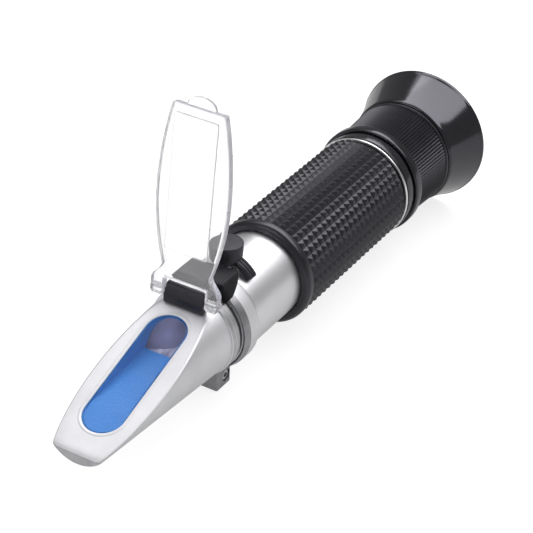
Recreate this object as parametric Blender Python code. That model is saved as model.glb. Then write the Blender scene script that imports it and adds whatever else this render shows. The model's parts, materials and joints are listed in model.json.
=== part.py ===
"""Handheld refractometer: sloping prism nose, clear daylight plate, gripped barrel and focusing eyepiece.

Everything is modelled in the barrel's own frame, under one empty: X is the station along the barrel,
counted from the eyecup's rim towards the nose, and Y and Z are measured from the barrel's axis.
The empty then puts the origin under the middle of the instrument, with +X towards the nose and +Z up.
"""

import math

import bmesh
import bpy
from mathutils import Vector

# Gaps and fits
SEAT_GAP = 0.0003
RUNNING_GAP = 0.0003
LINER_GAP = 0.0002
MERGE_DISTANCE = 0.00001
CUT_MARGIN = 0.002
CUT_REACH = 0.0334
JOIN_OVERLAP = 0.001

# Lengths along the barrel, from the eyecup's rim to the tip
EYECUP_LENGTH = 0.0135
FOCUS_RING_LENGTH = 0.0162
BASE_RING_LENGTH = 0.0065
TRIM_RING_LENGTH = 0.0007
GRIP_LENGTH = 0.0515
BARE_BARREL_LENGTH = 0.0215
COLLAR_LENGTH = 0.0055
SEAL_LENGTH = 0.0004
FLANGE_LENGTH = 0.0032
NOSE_LENGTH = 0.0472

# Driving radii, and the steps and walls of the pieces that fit on them
EYECUP_RIM_RADIUS = 0.0192
FOCUS_RING_FRONT_RADIUS = 0.0142
FOCUS_RING_REAR_RADIUS = 0.015
BARREL_RADIUS = 0.0118
BARREL_WALL = 0.0015
TRIM_RING_WALL = 0.00243
BASE_BAND_STEP = 0.00005
BASE_FLANGE_STEP = 0.00072
GRIP_WALL = 0.00227
COLLAR_WALL = 0.00077
FLANGE_SETDOWN = 0.00006
NOSE_STEP = 0.00044
NOSE_TAPER = 0.00236

# Walls of the turned pieces
EYECUP_WALL = 0.0009
EYECUP_NECK_WALL = 0.00205
EYECUP_FLOOR = 0.003
EYECUP_FLARE_POWER = 1.25
FOCUS_RING_WALL = 0.00145
FOCUS_WEB_LENGTH = 0.0013
FOCUS_BOSS_LENGTH = 0.003
FOCUS_BOSS_WALL = 0.0023
BASE_TUBE_WALL = 0.0016
BASE_TUBE_END_GAP = 0.0015
BASE_FLANGE_LENGTH = 0.0029
BASE_GROOVE_LENGTH = 0.0004
BASE_GROOVE_DEPTH = 0.0003
BASE_SPIGOT_LENGTH = 0.0084
BASE_SPIGOT_WALL = 0.0014
BASE_SHOULDER_LENGTH = 0.0006
GRIP_ROWS = 40
GRIP_COLUMNS = 21
GRIP_FIRST_GROOVE = math.radians(3)
GRIP_STUD_HEIGHT = 0.0006
GRIP_PLAIN_LENGTH = 0.00285
GRIP_LIP_LENGTH = 0.0007
GRIP_LIP_BEVEL = 0.0008
EDGE_BREAK = 0.0003

# Prism nose: the sloping face, its window and the pocket below it
FACE_ANGLE = math.radians(18.9)
FACE_TOP_DROP = 0.000134
WINDOW_FROM_TIP = 0.0065
WINDOW_REAR_MARGIN = 0.00245
WINDOW_HALF_WIDTH = 0.0054
POCKET_FLOOR_DROP = 0.006
LINER_WALL = 0.00045
LINER_FLOOR = 0.0008
LINER_END_SETBACK = 0.004
PRISM_RECESS = 0.0001
NOSE_BORE_RADIUS = 0.0068
NOSE_BORE_OVERLAP = 0.0003
NOSE_SPIGOT_LENGTH = 0.0056
EXIT_STOP_LENGTH = 0.0014
EXIT_STOP_APERTURE = 0.0046
EXIT_STOP_INSET = 0.001

# Daylight plate and its hinge; heights are square to the plate or to the prism face
HINGE_SETBACK = 0.00522
HINGE_HEIGHT = 0.00285
HINGE_PIN_RADIUS = 0.0008
HINGE_PIN_GAP = 0.0002
HINGE_BLOCK_HALF_WIDTH = 0.00555
HINGE_BLOCK_RADIUS = 0.0026
HINGE_HEEL_LENGTH = 0.0043
HINGE_HEEL_THICKNESS = 0.0016
HINGE_SCREW_FROM_PIN = 0.0029
HINGE_SCREW_SPREAD = 0.0034
HINGE_SCREW_HEAD_RADIUS = 0.0008
HINGE_SCREW_HEAD_HEIGHT = 0.0007
HINGE_SCREW_SINK = 0.0003
HINGE_SCREW_SHANK_RADIUS = 0.0006
HINGE_SCREW_LENGTH = 0.0042
PLATE_LEAN = math.radians(6.15)
PLATE_LENGTH = 0.0474
PLATE_THICKNESS = 0.0024
PLATE_BACK_OFFSET = 0.0006
PLATE_PAD_HEIGHT = 0.0007
PLATE_PAD_HALF_WIDTH = 0.00585
PLATE_PAD_START = 0.011
PLATE_PAD_TIP_MARGIN = 0.0019
PLATE_TIP_HALF_WIDTH = 0.007
PLATE_WIDEST_HALF_WIDTH = 0.0097
PLATE_WIDEST_AT = 0.0255
PLATE_NECK_HALF_WIDTH = 0.00665
PLATE_NECK_AT = 0.0066
PLATE_EAR_HALF_WIDTH = 0.0093
PLATE_EAR_TOP = 0.002
PLATE_EAR_DROP = 0.0019
PLATE_NOTCH_TOP = 0.0029
PLATE_TAB_HALF_WIDTH = 0.00385
PLATE_TAB_HEIGHT = 0.0024
PLATE_TAB_THICKNESS = 0.001

# Collar, its foot and the rubber saddle on it
FOOT_HALF_WIDTH = 0.0044
FOOT_FRONT_SETBACK = 0.0009
FOOT_LENGTH = 0.0061
SLIT_WIDTH = 0.0006
SLIT_OFFSET = 0.0015
CLAMP_SCREW_SETBACK = 0.002
CLAMP_SCREW_HEIGHT = 0.0029
CLAMP_SCREW_RADIUS = 0.001
CLAMP_HEAD_RADIUS = 0.00145
CLAMP_HEAD_HEIGHT = 0.0012
SADDLE_HALF_ANGLE = math.radians(37.7)
SADDLE_SHOULDER_ANGLE = math.radians(23)
SADDLE_TOP_LEVEL = 0.0142
SADDLE_EDGE = 0.0009
SADDLE_FRONT_LIP = 0.001
SADDLE_REAR_OVERHANG = 0.0009
SADDLE_SWEEP = 0.0062
SADDLE_SWEEP_POWER = 1.5
SADDLE_BEVEL = 0.0007

# Calibration screw, its bush and its rubber cap
SCREW_SHANK_RADIUS = 0.001
SCREW_HEAD_RADIUS = 0.0018
SCREW_HEAD_HEIGHT = 0.001
SCREW_SLOT_WIDTH = 0.0005
SCREW_SLOT_DEPTH = 0.0005
BUSH_WALL = 0.001
BUSH_RISE = 0.0039
BUSH_DROP = 0.0004
CAP_RADIUS = 0.004
CAP_SADDLE_GAP = 0.0004
CAP_GRIP_ON_BUSH = 0.0007
CAP_FOOT_INSET = 0.0002
CAP_ROOF = 0.0006
CAP_EDGE_BREAK = 0.0004

# The tab's tongue: (Y, drop below the cap's foot, half width, thickness) at each bend, and the corners of
# its section as shares of its half width and half thickness
TAB_BENDS = (
    (0.0034, 0.0003, 0.0029, 0.0016),
    (0.0034, 0.0009, 0.0029, 0.0016),
    (0.0042, 0.0016, 0.0026, 0.0017),
    (0.0056, 0.0023, 0.0018, 0.0019),
    (0.0067, 0.0031, 0.0016, 0.0022),
    (0.0079, 0.0043, 0.0016, 0.0022),
)
TAB_SECTION = ((1, 0.6), (0.6, 1), (-0.6, 1), (-1, 0.6), (-1, -0.6), (-0.6, -1), (0.6, -1), (1, -0.6))
TAB_RIB_COUNT = 4
TAB_RIB_HEIGHT = 0.00018

# Objective group
CELL_CLEARANCE = 0.0015
CELL_WALL = 0.0009
CELL_LENGTH = 0.0105
CELL_LEDGE_LENGTH = 0.0015
CELL_LEDGE_HEIGHT = 0.001
CELL_SETBACK = 0.0001
OBJECTIVE_EDGE_LENGTH = 0.0026
OBJECTIVE_BULGE = 0.0009
RETAINER_LENGTH = 0.0018
RETAINER_HEIGHT = 0.001
ANCHOR_LENGTH = 0.004
ANCHOR_WALL = 0.0014
ANCHOR_SETBACK = 0.0085
STRIP_THICKNESS = 0.0005
STRIP_HALF_WIDTH = 0.0025
STRIP_OVERLAP = 0.0015
STRIP_GAP = 0.0004
SPRING_LENGTH = 0.007
SPRING_HALF_WIDTH = 0.002
SPRING_THICKNESS = 0.00025
SPRING_BOW = 0.0004
SPRING_GAP = 0.00045

# Reticle group
RETICLE_CELL_LENGTH = 0.006
RETICLE_CELL_WALL = 0.0007
RETICLE_LEDGE_LENGTH = 0.0014
RETICLE_LEDGE_HEIGHT = 0.0011
RETICLE_THICKNESS = 0.0013
RETICLE_RETAINER_LENGTH = 0.0022

# Eyepiece group
SLEEVE_WALL = 0.0012
SLEEVE_FLANGE_LENGTH = 0.0014
SLEEVE_FRONT_GAP = 0.0005
SLEEVE_LEDGE_LENGTH = 0.0013
SLEEVE_LEDGE_HEIGHT = 0.0012
CLIP_LENGTH = 0.0006
CLIP_HEIGHT = 0.001
EYE_LENS_EDGE_LENGTH = 0.002
EYE_LENS_BULGE = 0.0012
FIELD_LENS_EDGE_LENGTH = 0.0018
FIELD_LENS_BULGE = 0.0015
EYE_RETAINER_LENGTH = 0.0014
EYE_RETAINER_HEIGHT = 0.001
SPACER_WALL = 0.0007
KEY_STATION_OFFSET = 0.007
KEY_RADIUS = 0.001
KEY_SLOT_REACH = 0.0055
KEY_SLOT_BACK = 0.0018

# Roundness of the turned pieces
OUTER_SEGMENTS = 40
INNER_SEGMENTS = 24
SMALL_SEGMENTS = 16
CURVE_STEPS = 6
SHARP_ANGLE = math.radians(35)

# Stations along the barrel
EYECUP_FRONT = EYECUP_LENGTH
FOCUS_REAR = EYECUP_FRONT + SEAT_GAP
FOCUS_FRONT = FOCUS_REAR + FOCUS_RING_LENGTH
BASE_REAR = FOCUS_FRONT + SEAT_GAP
BASE_FRONT = BASE_REAR + BASE_RING_LENGTH
BARREL_REAR = BASE_FRONT + SEAT_GAP
TRIM_FRONT = BARREL_REAR + TRIM_RING_LENGTH
GRIP_REAR = TRIM_FRONT + SEAT_GAP
GRIP_FRONT = GRIP_REAR + GRIP_LENGTH
COLLAR_REAR = GRIP_FRONT + BARE_BARREL_LENGTH
COLLAR_FRONT = COLLAR_REAR + COLLAR_LENGTH
SEAL_REAR = COLLAR_FRONT + SEAT_GAP
SEAL_FRONT = SEAL_REAR + SEAL_LENGTH
FLANGE_REAR = SEAL_FRONT + SEAT_GAP
FLANGE_FRONT = FLANGE_REAR + FLANGE_LENGTH
TIP = FLANGE_FRONT + NOSE_LENGTH

# The eyecup's rim and the foot stand on the same level
AXIS_HEIGHT = EYECUP_RIM_RADIUS

# Radii that follow from a neighbour and a gap
BARREL_BORE = BARREL_RADIUS - BARREL_WALL
OVER_BARREL = BARREL_RADIUS + SEAT_GAP
IN_BARREL = BARREL_BORE - SEAT_GAP
TRIM_RING_RADIUS = OVER_BARREL + TRIM_RING_WALL
BASE_BAND_RADIUS = TRIM_RING_RADIUS + BASE_BAND_STEP
BASE_FLANGE_RADIUS = BASE_BAND_RADIUS + BASE_FLANGE_STEP
GRIP_RADIUS = OVER_BARREL + GRIP_WALL
COLLAR_RADIUS = OVER_BARREL + COLLAR_WALL
FLANGE_RADIUS = BARREL_RADIUS - FLANGE_SETDOWN
NOSE_REAR_RADIUS = FLANGE_RADIUS - NOSE_STEP
NOSE_TIP_RADIUS = NOSE_REAR_RADIUS - NOSE_TAPER
CELL_RADIUS = BARREL_BORE - CELL_CLEARANCE
FOCUS_BORE = FOCUS_RING_FRONT_RADIUS - FOCUS_RING_WALL
FOCUS_BOSS_RADIUS = FOCUS_BORE + RUNNING_GAP
EYECUP_BORE = FOCUS_BOSS_RADIUS + SEAT_GAP
EYECUP_NECK_RADIUS = EYECUP_BORE + EYECUP_NECK_WALL

# Places on the sloping face, counted from the tip, and on top of the collar
FACE_LENGTH = (TIP - FLANGE_REAR) / math.cos(FACE_ANGLE)
FACE_TIP_DROP = FACE_LENGTH * math.sin(FACE_ANGLE) - FLANGE_RADIUS + FACE_TOP_DROP
HINGE_FROM_TIP = FACE_LENGTH - HINGE_SETBACK
WINDOW_END = HINGE_FROM_TIP - HINGE_BLOCK_RADIUS - WINDOW_REAR_MARGIN
SADDLE_INNER_RADIUS = COLLAR_RADIUS + SEAT_GAP
SADDLE_REAR = COLLAR_REAR - SADDLE_REAR_OVERHANG
SCREW_STATION = SADDLE_REAR - CAP_SADDLE_GAP - CAP_RADIUS

MATERIALS = {}


def clear_scene():
    for obj in list(bpy.data.objects):
        bpy.data.objects.remove(obj, do_unlink=True)


def material(name, colour, roughness, metallic=0.0, transmission=0.0):
    """One plain material per finish, made once and shared by the pieces that have it."""
    if name not in MATERIALS:
        made = bpy.data.materials.new(name)
        made.use_nodes = True
        shader = made.node_tree.nodes["Principled BSDF"]
        shader.inputs["Base Color"].default_value = (*colour, 1.0)
        shader.inputs["Roughness"].default_value = roughness
        shader.inputs["Metallic"].default_value = metallic
        shader.inputs["Transmission Weight"].default_value = transmission
        MATERIALS[name] = made
    return MATERIALS[name]


def satin_aluminium():
    return material("satin_aluminium", (0.78, 0.78, 0.80), 0.35, 1.0)


def dark_anodised():
    return material("dark_anodised", (0.05, 0.05, 0.055), 0.5, 0.6)


def polished_trim():
    return material("polished_trim", (0.9, 0.9, 0.92), 0.12, 1.0)


def steel():
    return material("steel", (0.6, 0.6, 0.62), 0.3, 1.0)


def brass():
    return material("brass", (0.75, 0.58, 0.28), 0.35, 1.0)


def black_rubber():
    return material("black_rubber", (0.028, 0.028, 0.031), 0.55)


def gloss_black():
    return material("gloss_black", (0.018, 0.018, 0.02), 0.25)


def blue_plastic():
    return material("blue_plastic", (0.07, 0.26, 0.68), 0.4)


def clear_acrylic():
    return material("clear_acrylic", (0.97, 0.97, 0.98), 0.05, 0.0, 1.0)


def clear_glass():
    return material("clear_glass", (0.95, 0.97, 0.98), 0.02, 0.0, 1.0)


def add_object(name, mesh_builder, finish, at=(0.0, 0.0, 0.0), turn=(0.0, 0.0, 0.0)):
    """Turn a finished mesh builder into a named object under the barrel's frame."""
    bmesh.ops.remove_doubles(mesh_builder, verts=mesh_builder.verts, dist=MERGE_DISTANCE)
    bmesh.ops.recalc_face_normals(mesh_builder, faces=mesh_builder.faces)
    mesh = bpy.data.meshes.new(name)
    mesh_builder.to_mesh(mesh)
    mesh_builder.free()
    mesh.shade_smooth()
    mesh.set_sharp_from_angle(angle=SHARP_ANGLE)
    if finish is not None:
        mesh.materials.append(finish)
    obj = bpy.data.objects.new(name, mesh)
    bpy.context.scene.collection.objects.link(obj)
    obj.parent = bpy.data.objects["barrel_axis"]
    obj.location = at
    obj.rotation_euler = turn
    return obj


def turned(name, profile, finish, segments=OUTER_SEGMENTS, at=(0.0, 0.0, 0.0), turn=(0.0, 0.0, 0.0)):
    """Spin a closed outline of (along, radius) points about its own X axis."""
    builder = bmesh.new()
    verts = [builder.verts.new((along, 0.0, radius)) for along, radius in profile]
    edges = []
    for first, second in zip(verts, verts[1:] + verts[:1]):
        if first.co.z > 0.0 or second.co.z > 0.0:
            edges.append(builder.edges.new((first, second)))
    bmesh.ops.spin(
        builder,
        geom=verts + edges,
        cent=(0.0, 0.0, 0.0),
        axis=(1.0, 0.0, 0.0),
        angle=math.tau,
        steps=segments,
        use_merge=True,
    )
    return add_object(name, builder, finish, at, turn)


def lofted(name, rings, finish, at=(0.0, 0.0, 0.0), turn=(0.0, 0.0, 0.0)):
    """Skin a row of equal rings of points and close the two ends."""
    builder = bmesh.new()
    loops = [[builder.verts.new(point) for point in ring] for ring in rings]
    for lower, upper in zip(loops, loops[1:]):
        for index in range(len(lower)):
            after = (index + 1) % len(lower)
            builder.faces.new((lower[index], lower[after], upper[after], upper[index]))
    builder.faces.new(loops[0])
    builder.faces.new(loops[-1])
    return add_object(name, builder, finish, at, turn)


def block(name, low, high, finish=None):
    """A rectangular block between two corners of the barrel's frame."""
    rings = []
    corners = [(low[0], low[1]), (high[0], low[1]), (high[0], high[1]), (low[0], high[1])]
    for z in (low[2], high[2]):
        rings.append([(x, y, z) for x, y in corners])
    return lofted(name, rings, finish)


def ring_profile(rear, front, inner, outer):
    return [(rear, inner), (rear, outer), (front, outer), (front, inner)]


def rod_profile(start, end, radius):
    return [(start, 0.0), (start, radius), (end, radius), (end, 0.0)]


def combine(target, tool, operation):
    """Cut or join a hidden tool body into a piece."""
    tool.hide_render = True
    tool.display_type = "WIRE"
    step = target.modifiers.new(tool.name, "BOOLEAN")
    step.operation = operation
    step.solver = "EXACT"
    step.object = tool


def cut(target, tool):
    combine(target, tool, "DIFFERENCE")


def join(target, tool):
    combine(target, tool, "UNION")


# An object's local X axis turned to another axis of the barrel's frame
TO_PLUS_Z = (0.0, -math.pi / 2, 0.0)
TO_PLUS_Y = (0.0, 0.0, math.pi / 2)


def face_point(from_tip, height, across):
    """A point by its distance up the sloping face, its height square to the face, and Y."""
    x = TIP - from_tip * math.cos(FACE_ANGLE) + height * math.sin(FACE_ANGLE)
    z = -FACE_TIP_DROP + from_tip * math.sin(FACE_ANGLE) + height * math.cos(FACE_ANGLE)
    return Vector((x, across, z))


def height_at_level(from_tip, level):
    """The height square to the face at which a point above that place of the face has Z = level."""
    return (level + FACE_TIP_DROP - from_tip * math.sin(FACE_ANGLE)) / math.cos(FACE_ANGLE)


def stadium(inset):
    """The window's round-ended outline as (from_tip, across) points, drawn in by an inset."""
    radius = WINDOW_HALF_WIDTH - inset
    low = WINDOW_FROM_TIP + WINDOW_HALF_WIDTH
    high = WINDOW_END - WINDOW_HALF_WIDTH
    points = []
    for centre, start in ((low, math.pi / 2), (high, -math.pi / 2)):
        for index in range(CURVE_STEPS + 1):
            angle = start + math.pi * index / CURVE_STEPS
            points.append((centre + radius * math.cos(angle), radius * math.sin(angle)))
    return points


def window_plug(name, inset, floor_level, top_height, finish):
    """A body with the window's outline, from a level floor up to a plane along the sloping face."""
    outline = stadium(inset)
    bottom = [face_point(s, height_at_level(s, floor_level), y) for s, y in outline]
    top = [face_point(s, top_height, y) for s, y in outline]
    return lofted(name, [bottom, top], finish)


def nose_radius(station):
    share = (station - FLANGE_FRONT) / (TIP - FLANGE_FRONT)
    return NOSE_REAR_RADIUS + (NOSE_TIP_RADIUS - NOSE_REAR_RADIUS) * share


def window_rear_station():
    return face_point(WINDOW_END, 0.0, 0.0).x


def make_prism_housing():
    spigot_rear = FLANGE_REAR - NOSE_SPIGOT_LENGTH
    bore_end = window_rear_station() + NOSE_BORE_OVERLAP
    profile = [
        (spigot_rear, NOSE_BORE_RADIUS),
        (spigot_rear, IN_BARREL),
        (FLANGE_REAR, IN_BARREL),
        (FLANGE_REAR, FLANGE_RADIUS),
        (FLANGE_FRONT, FLANGE_RADIUS),
        (FLANGE_FRONT, nose_radius(FLANGE_FRONT)),
        (TIP, nose_radius(TIP)),
        (TIP, 0.0),
        (bore_end, 0.0),
        (bore_end, NOSE_BORE_RADIUS),
    ]
    housing = turned("prism_housing", profile, satin_aluminium())
    reach = CUT_REACH
    section = [(0.0, -reach), (0.0, reach), (reach, reach), (reach, -reach)]
    rings = []
    for s in (-reach, FACE_LENGTH + reach):
        rings.append([face_point(s, height, y) for height, y in section])
    cut(housing, lofted("face_cut", rings, None))
    cut(housing, window_plug("pocket_cut", 0.0, -POCKET_FLOOR_DROP, CUT_MARGIN, None))
    for side in (-1, 1):
        at = face_point(HINGE_FROM_TIP + HINGE_SCREW_FROM_PIN, 0.0, side * HINGE_SCREW_SPREAD)
        depth = HINGE_SCREW_LENGTH + SEAT_GAP
        radius = HINGE_SCREW_SHANK_RADIUS + SEAT_GAP
        hole = rod_profile(-depth, CUT_MARGIN, radius)
        turn = (0.0, FACE_ANGLE - math.pi / 2, 0.0)
        cut(housing, turned(f"housing_screw_hole_{side}", hole, None, SMALL_SEGMENTS, at, turn))


def make_prism_and_liner():
    liner_inset = LINER_GAP
    liner_floor = -POCKET_FLOOR_DROP + LINER_GAP
    liner = window_plug("prism_liner", liner_inset, liner_floor, -PRISM_RECESS, blue_plastic())
    hollow_inset = liner_inset + LINER_WALL
    hollow_floor = liner_floor + LINER_FLOOR
    cut(liner, window_plug("liner_hollow", hollow_inset, hollow_floor, CUT_MARGIN, None))
    end = window_rear_station() + LINER_END_SETBACK
    reach = CUT_REACH
    cut(liner, block("liner_end_cut", (end - reach, -reach, -reach), (end, reach, reach)))
    prism_inset = hollow_inset + LINER_GAP
    window_plug("prism", prism_inset, hollow_floor + LINER_GAP, -PRISM_RECESS, clear_glass())


def make_exit_stop():
    rear = FLANGE_REAR - NOSE_SPIGOT_LENGTH + EXIT_STOP_INSET
    outer = NOSE_BORE_RADIUS - SEAT_GAP
    profile = ring_profile(rear, rear + EXIT_STOP_LENGTH, EXIT_STOP_APERTURE, outer)
    turned("exit_stop", profile, dark_anodised(), INNER_SEGMENTS)


def hinge_axis():
    return face_point(HINGE_FROM_TIP, HINGE_HEIGHT, 0.0)


def make_hinge():
    """The black bar on the prism face, its two screws, and the pin that the plate's ears turn on."""
    bottom = -(HINGE_HEIGHT - SEAT_GAP)
    heel_top = bottom + HINGE_HEEL_THICKNESS
    start = math.pi + math.asin(-bottom / HINGE_BLOCK_RADIUS)
    end = -math.asin(-heel_top / HINGE_BLOCK_RADIUS)
    steps = 2 * CURVE_STEPS
    outline = []
    for index in range(steps + 1):
        angle = start + (end - start) * index / steps
        outline.append((HINGE_BLOCK_RADIUS * math.cos(angle), HINGE_BLOCK_RADIUS * math.sin(angle)))
    outline += [(HINGE_HEEL_LENGTH, heel_top), (HINGE_HEEL_LENGTH, bottom)]
    rings = []
    for y in (-HINGE_BLOCK_HALF_WIDTH, HINGE_BLOCK_HALF_WIDTH):
        rings.append([face_point(HINGE_FROM_TIP + u, HINGE_HEIGHT + h, y) for u, h in outline])
    bar = lofted("hinge_block", rings, gloss_black())
    pin_reach = PLATE_EAR_HALF_WIDTH + HINGE_PIN_GAP
    pin_hole = rod_profile(-pin_reach, pin_reach, HINGE_PIN_RADIUS + HINGE_PIN_GAP)
    cut(bar, turned("block_pin_hole", pin_hole, None, SMALL_SEGMENTS, hinge_axis(), TO_PLUS_Y))
    turned("hinge_pin", rod_profile(-pin_reach, pin_reach, HINGE_PIN_RADIUS), steel(), SMALL_SEGMENTS,
           hinge_axis(), TO_PLUS_Y)

    seat = HINGE_HEIGHT + heel_top - HINGE_SCREW_SINK
    turn = (0.0, FACE_ANGLE - math.pi / 2, 0.0)
    for side in (-1, 1):
        at = face_point(HINGE_FROM_TIP + HINGE_SCREW_FROM_PIN, 0.0, side * HINGE_SCREW_SPREAD)
        head_gap = HINGE_SCREW_HEAD_RADIUS + SEAT_GAP
        shank_gap = HINGE_SCREW_SHANK_RADIUS + SEAT_GAP
        opening = [
            (-CUT_MARGIN, 0.0),
            (-CUT_MARGIN, shank_gap),
            (seat, shank_gap),
            (seat, head_gap),
            (HINGE_HEIGHT + HINGE_BLOCK_RADIUS + CUT_MARGIN, head_gap),
            (HINGE_HEIGHT + HINGE_BLOCK_RADIUS + CUT_MARGIN, 0.0),
        ]
        cut(bar, turned(f"block_screw_hole_{side}", opening, None, SMALL_SEGMENTS, at, turn))
        head_seat = seat + SEAT_GAP
        shape = [
            (-HINGE_SCREW_LENGTH, 0.0),
            (-HINGE_SCREW_LENGTH, HINGE_SCREW_SHANK_RADIUS),
            (head_seat, HINGE_SCREW_SHANK_RADIUS),
            (head_seat, HINGE_SCREW_HEAD_RADIUS),
            (head_seat + HINGE_SCREW_HEAD_HEIGHT, HINGE_SCREW_HEAD_RADIUS),
            (head_seat + HINGE_SCREW_HEAD_HEIGHT, 0.0),
        ]
        turned(f"hinge_screw_{'left' if side > 0 else 'right'}", shape, steel(), SMALL_SEGMENTS, at, turn)


def plate_half_width(along):
    """Half width of the plate's bowed body at a distance from the pin."""
    if along > PLATE_WIDEST_AT:
        share = (along - PLATE_WIDEST_AT) / (PLATE_LENGTH - PLATE_WIDEST_AT)
        return PLATE_WIDEST_HALF_WIDTH - (PLATE_WIDEST_HALF_WIDTH - PLATE_TIP_HALF_WIDTH) * share**2
    share = (PLATE_WIDEST_AT - along) / (PLATE_WIDEST_AT - PLATE_NECK_AT)
    return PLATE_WIDEST_HALF_WIDTH - (PLATE_WIDEST_HALF_WIDTH - PLATE_NECK_HALF_WIDTH) * share**2


def plate_half_outline():
    """One side of the plate from the notch, round the ear and along the bowed edge to the tip."""
    notch = HINGE_BLOCK_HALF_WIDTH + RUNNING_GAP
    points = [(notch, PLATE_NOTCH_TOP), (notch, -PLATE_EAR_DROP), (PLATE_EAR_HALF_WIDTH, -PLATE_EAR_DROP)]
    for index in range(CURVE_STEPS):
        share = index / CURVE_STEPS
        ease = (1 - math.cos(math.pi * share)) / 2
        width = PLATE_EAR_HALF_WIDTH + (PLATE_NECK_HALF_WIDTH - PLATE_EAR_HALF_WIDTH) * ease
        points.append((width, PLATE_EAR_TOP + (PLATE_NECK_AT - PLATE_EAR_TOP) * share))
    for index in range(2 * CURVE_STEPS + 1):
        along = PLATE_NECK_AT + (PLATE_LENGTH - PLATE_NECK_AT) * index / (2 * CURVE_STEPS)
        points.append((plate_half_width(along), along))
    return points


def plate_slab(name, outline, back, front, finish, at, turn):
    """Extrude an outline of (across, along) points between two offsets square to the plate."""
    rings = [[(offset, across, along) for across, along in outline] for offset in (back, front)]
    return lofted(name, rings, finish, at, turn)


def make_daylight_plate():
    """The clear flap, stored open, with its origin on the pin and its local Z towards the tip."""
    at = hinge_axis()
    turn = (0.0, -PLATE_LEAN, 0.0)
    back = -PLATE_BACK_OFFSET
    front = back + PLATE_THICKNESS
    right = plate_half_outline()
    outline = right + [(-across, along) for across, along in reversed(right)]
    plate = plate_slab("daylight_plate", outline, back, front, clear_acrylic(), at, turn)

    pad_end = PLATE_LENGTH - PLATE_PAD_TIP_MARGIN
    pad = [
        (-PLATE_PAD_HALF_WIDTH, PLATE_PAD_START),
        (PLATE_PAD_HALF_WIDTH, PLATE_PAD_START),
        (PLATE_PAD_HALF_WIDTH, pad_end),
        (-PLATE_PAD_HALF_WIDTH, pad_end),
    ]
    sunk = front - JOIN_OVERLAP
    join(plate, plate_slab("plate_pad", pad, sunk, front + PLATE_PAD_HEIGHT, None, at, turn))

    tab_root = PLATE_LENGTH - JOIN_OVERLAP
    tab = [(PLATE_TAB_HALF_WIDTH, tab_root)]
    for index in range(2 * CURVE_STEPS + 1):
        angle = math.pi * index / (2 * CURVE_STEPS)
        rise = PLATE_TAB_HEIGHT * math.sin(angle)
        tab.append((PLATE_TAB_HALF_WIDTH * math.cos(angle), PLATE_LENGTH + rise))
    tab.append((-PLATE_TAB_HALF_WIDTH, tab_root))
    tab_front = back + PLATE_TAB_THICKNESS
    join(plate, plate_slab("plate_tab", tab, back, tab_front, None, at, turn))

    reach = PLATE_EAR_HALF_WIDTH + CUT_MARGIN
    hole = rod_profile(-reach, reach, HINGE_PIN_RADIUS + HINGE_PIN_GAP)
    cut(plate, turned("plate_pin_hole", hole, None, SMALL_SEGMENTS, at, TO_PLUS_Y))


def make_collar():
    """Split clamp ring with the foot that the instrument stands on, and its cross screw."""
    ring = ring_profile(COLLAR_REAR, COLLAR_FRONT, BARREL_BORE, COLLAR_RADIUS)
    collar = turned("collar", ring, satin_aluminium())
    foot_front = COLLAR_FRONT - FOOT_FRONT_SETBACK
    foot_rear = foot_front - FOOT_LENGTH
    foot_top = -(OVER_BARREL - JOIN_OVERLAP)
    foot_low = (foot_rear, -FOOT_HALF_WIDTH, -AXIS_HEIGHT)
    foot_high = (foot_front, FOOT_HALF_WIDTH, foot_top)
    join(collar, block("foot", foot_low, foot_high))
    bore = rod_profile(foot_rear - CUT_MARGIN, COLLAR_FRONT + CUT_MARGIN, OVER_BARREL)
    half_step = (math.pi / OUTER_SEGMENTS, 0.0, 0.0)
    cut(collar, turned("collar_bore", bore, None, OUTER_SEGMENTS, (0.0, 0.0, 0.0), half_step))
    slit_low = (foot_rear - CUT_MARGIN, -SLIT_OFFSET - SLIT_WIDTH / 2, -AXIS_HEIGHT - CUT_MARGIN)
    slit_high = (COLLAR_FRONT + CUT_MARGIN, -SLIT_OFFSET + SLIT_WIDTH / 2, 0.0)
    cut(collar, block("collar_slit", slit_low, slit_high))

    at = (foot_rear + CLAMP_SCREW_SETBACK, 0.0, -AXIS_HEIGHT + CLAMP_SCREW_HEIGHT)
    head_seat = FOOT_HALF_WIDTH - CLAMP_HEAD_HEIGHT - SEAT_GAP
    head_gap = CLAMP_HEAD_RADIUS + SEAT_GAP
    shank_gap = CLAMP_SCREW_RADIUS + SEAT_GAP
    opening = [
        (-FOOT_HALF_WIDTH - CUT_MARGIN, 0.0),
        (-FOOT_HALF_WIDTH - CUT_MARGIN, shank_gap),
        (head_seat - SEAT_GAP, shank_gap),
        (head_seat - SEAT_GAP, head_gap),
        (FOOT_HALF_WIDTH + CUT_MARGIN, head_gap),
        (FOOT_HALF_WIDTH + CUT_MARGIN, 0.0),
    ]
    cut(collar, turned("clamp_hole", opening, None, SMALL_SEGMENTS, at, TO_PLUS_Y))
    screw = [
        (-FOOT_HALF_WIDTH, 0.0),
        (-FOOT_HALF_WIDTH, CLAMP_SCREW_RADIUS),
        (head_seat, CLAMP_SCREW_RADIUS),
        (head_seat, CLAMP_HEAD_RADIUS),
        (head_seat + CLAMP_HEAD_HEIGHT, CLAMP_HEAD_RADIUS),
        (head_seat + CLAMP_HEAD_HEIGHT, 0.0),
    ]
    turned("collar_screw", screw, steel(), SMALL_SEGMENTS, at, TO_PLUS_Y)


def saddle_height(angle):
    """Outer radius of the saddle: flat on top, then falling from its shoulders to its two ends."""
    if abs(angle) <= SADDLE_SHOULDER_ANGLE:
        return SADDLE_TOP_LEVEL / math.cos(angle)
    fall = (abs(angle) - SADDLE_SHOULDER_ANGLE) / (SADDLE_HALF_ANGLE - SADDLE_SHOULDER_ANGLE)
    shoulder = SADDLE_TOP_LEVEL / math.cos(SADDLE_SHOULDER_ANGLE)
    return shoulder + (SADDLE_INNER_RADIUS + SADDLE_EDGE - shoulder) * fall


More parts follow.
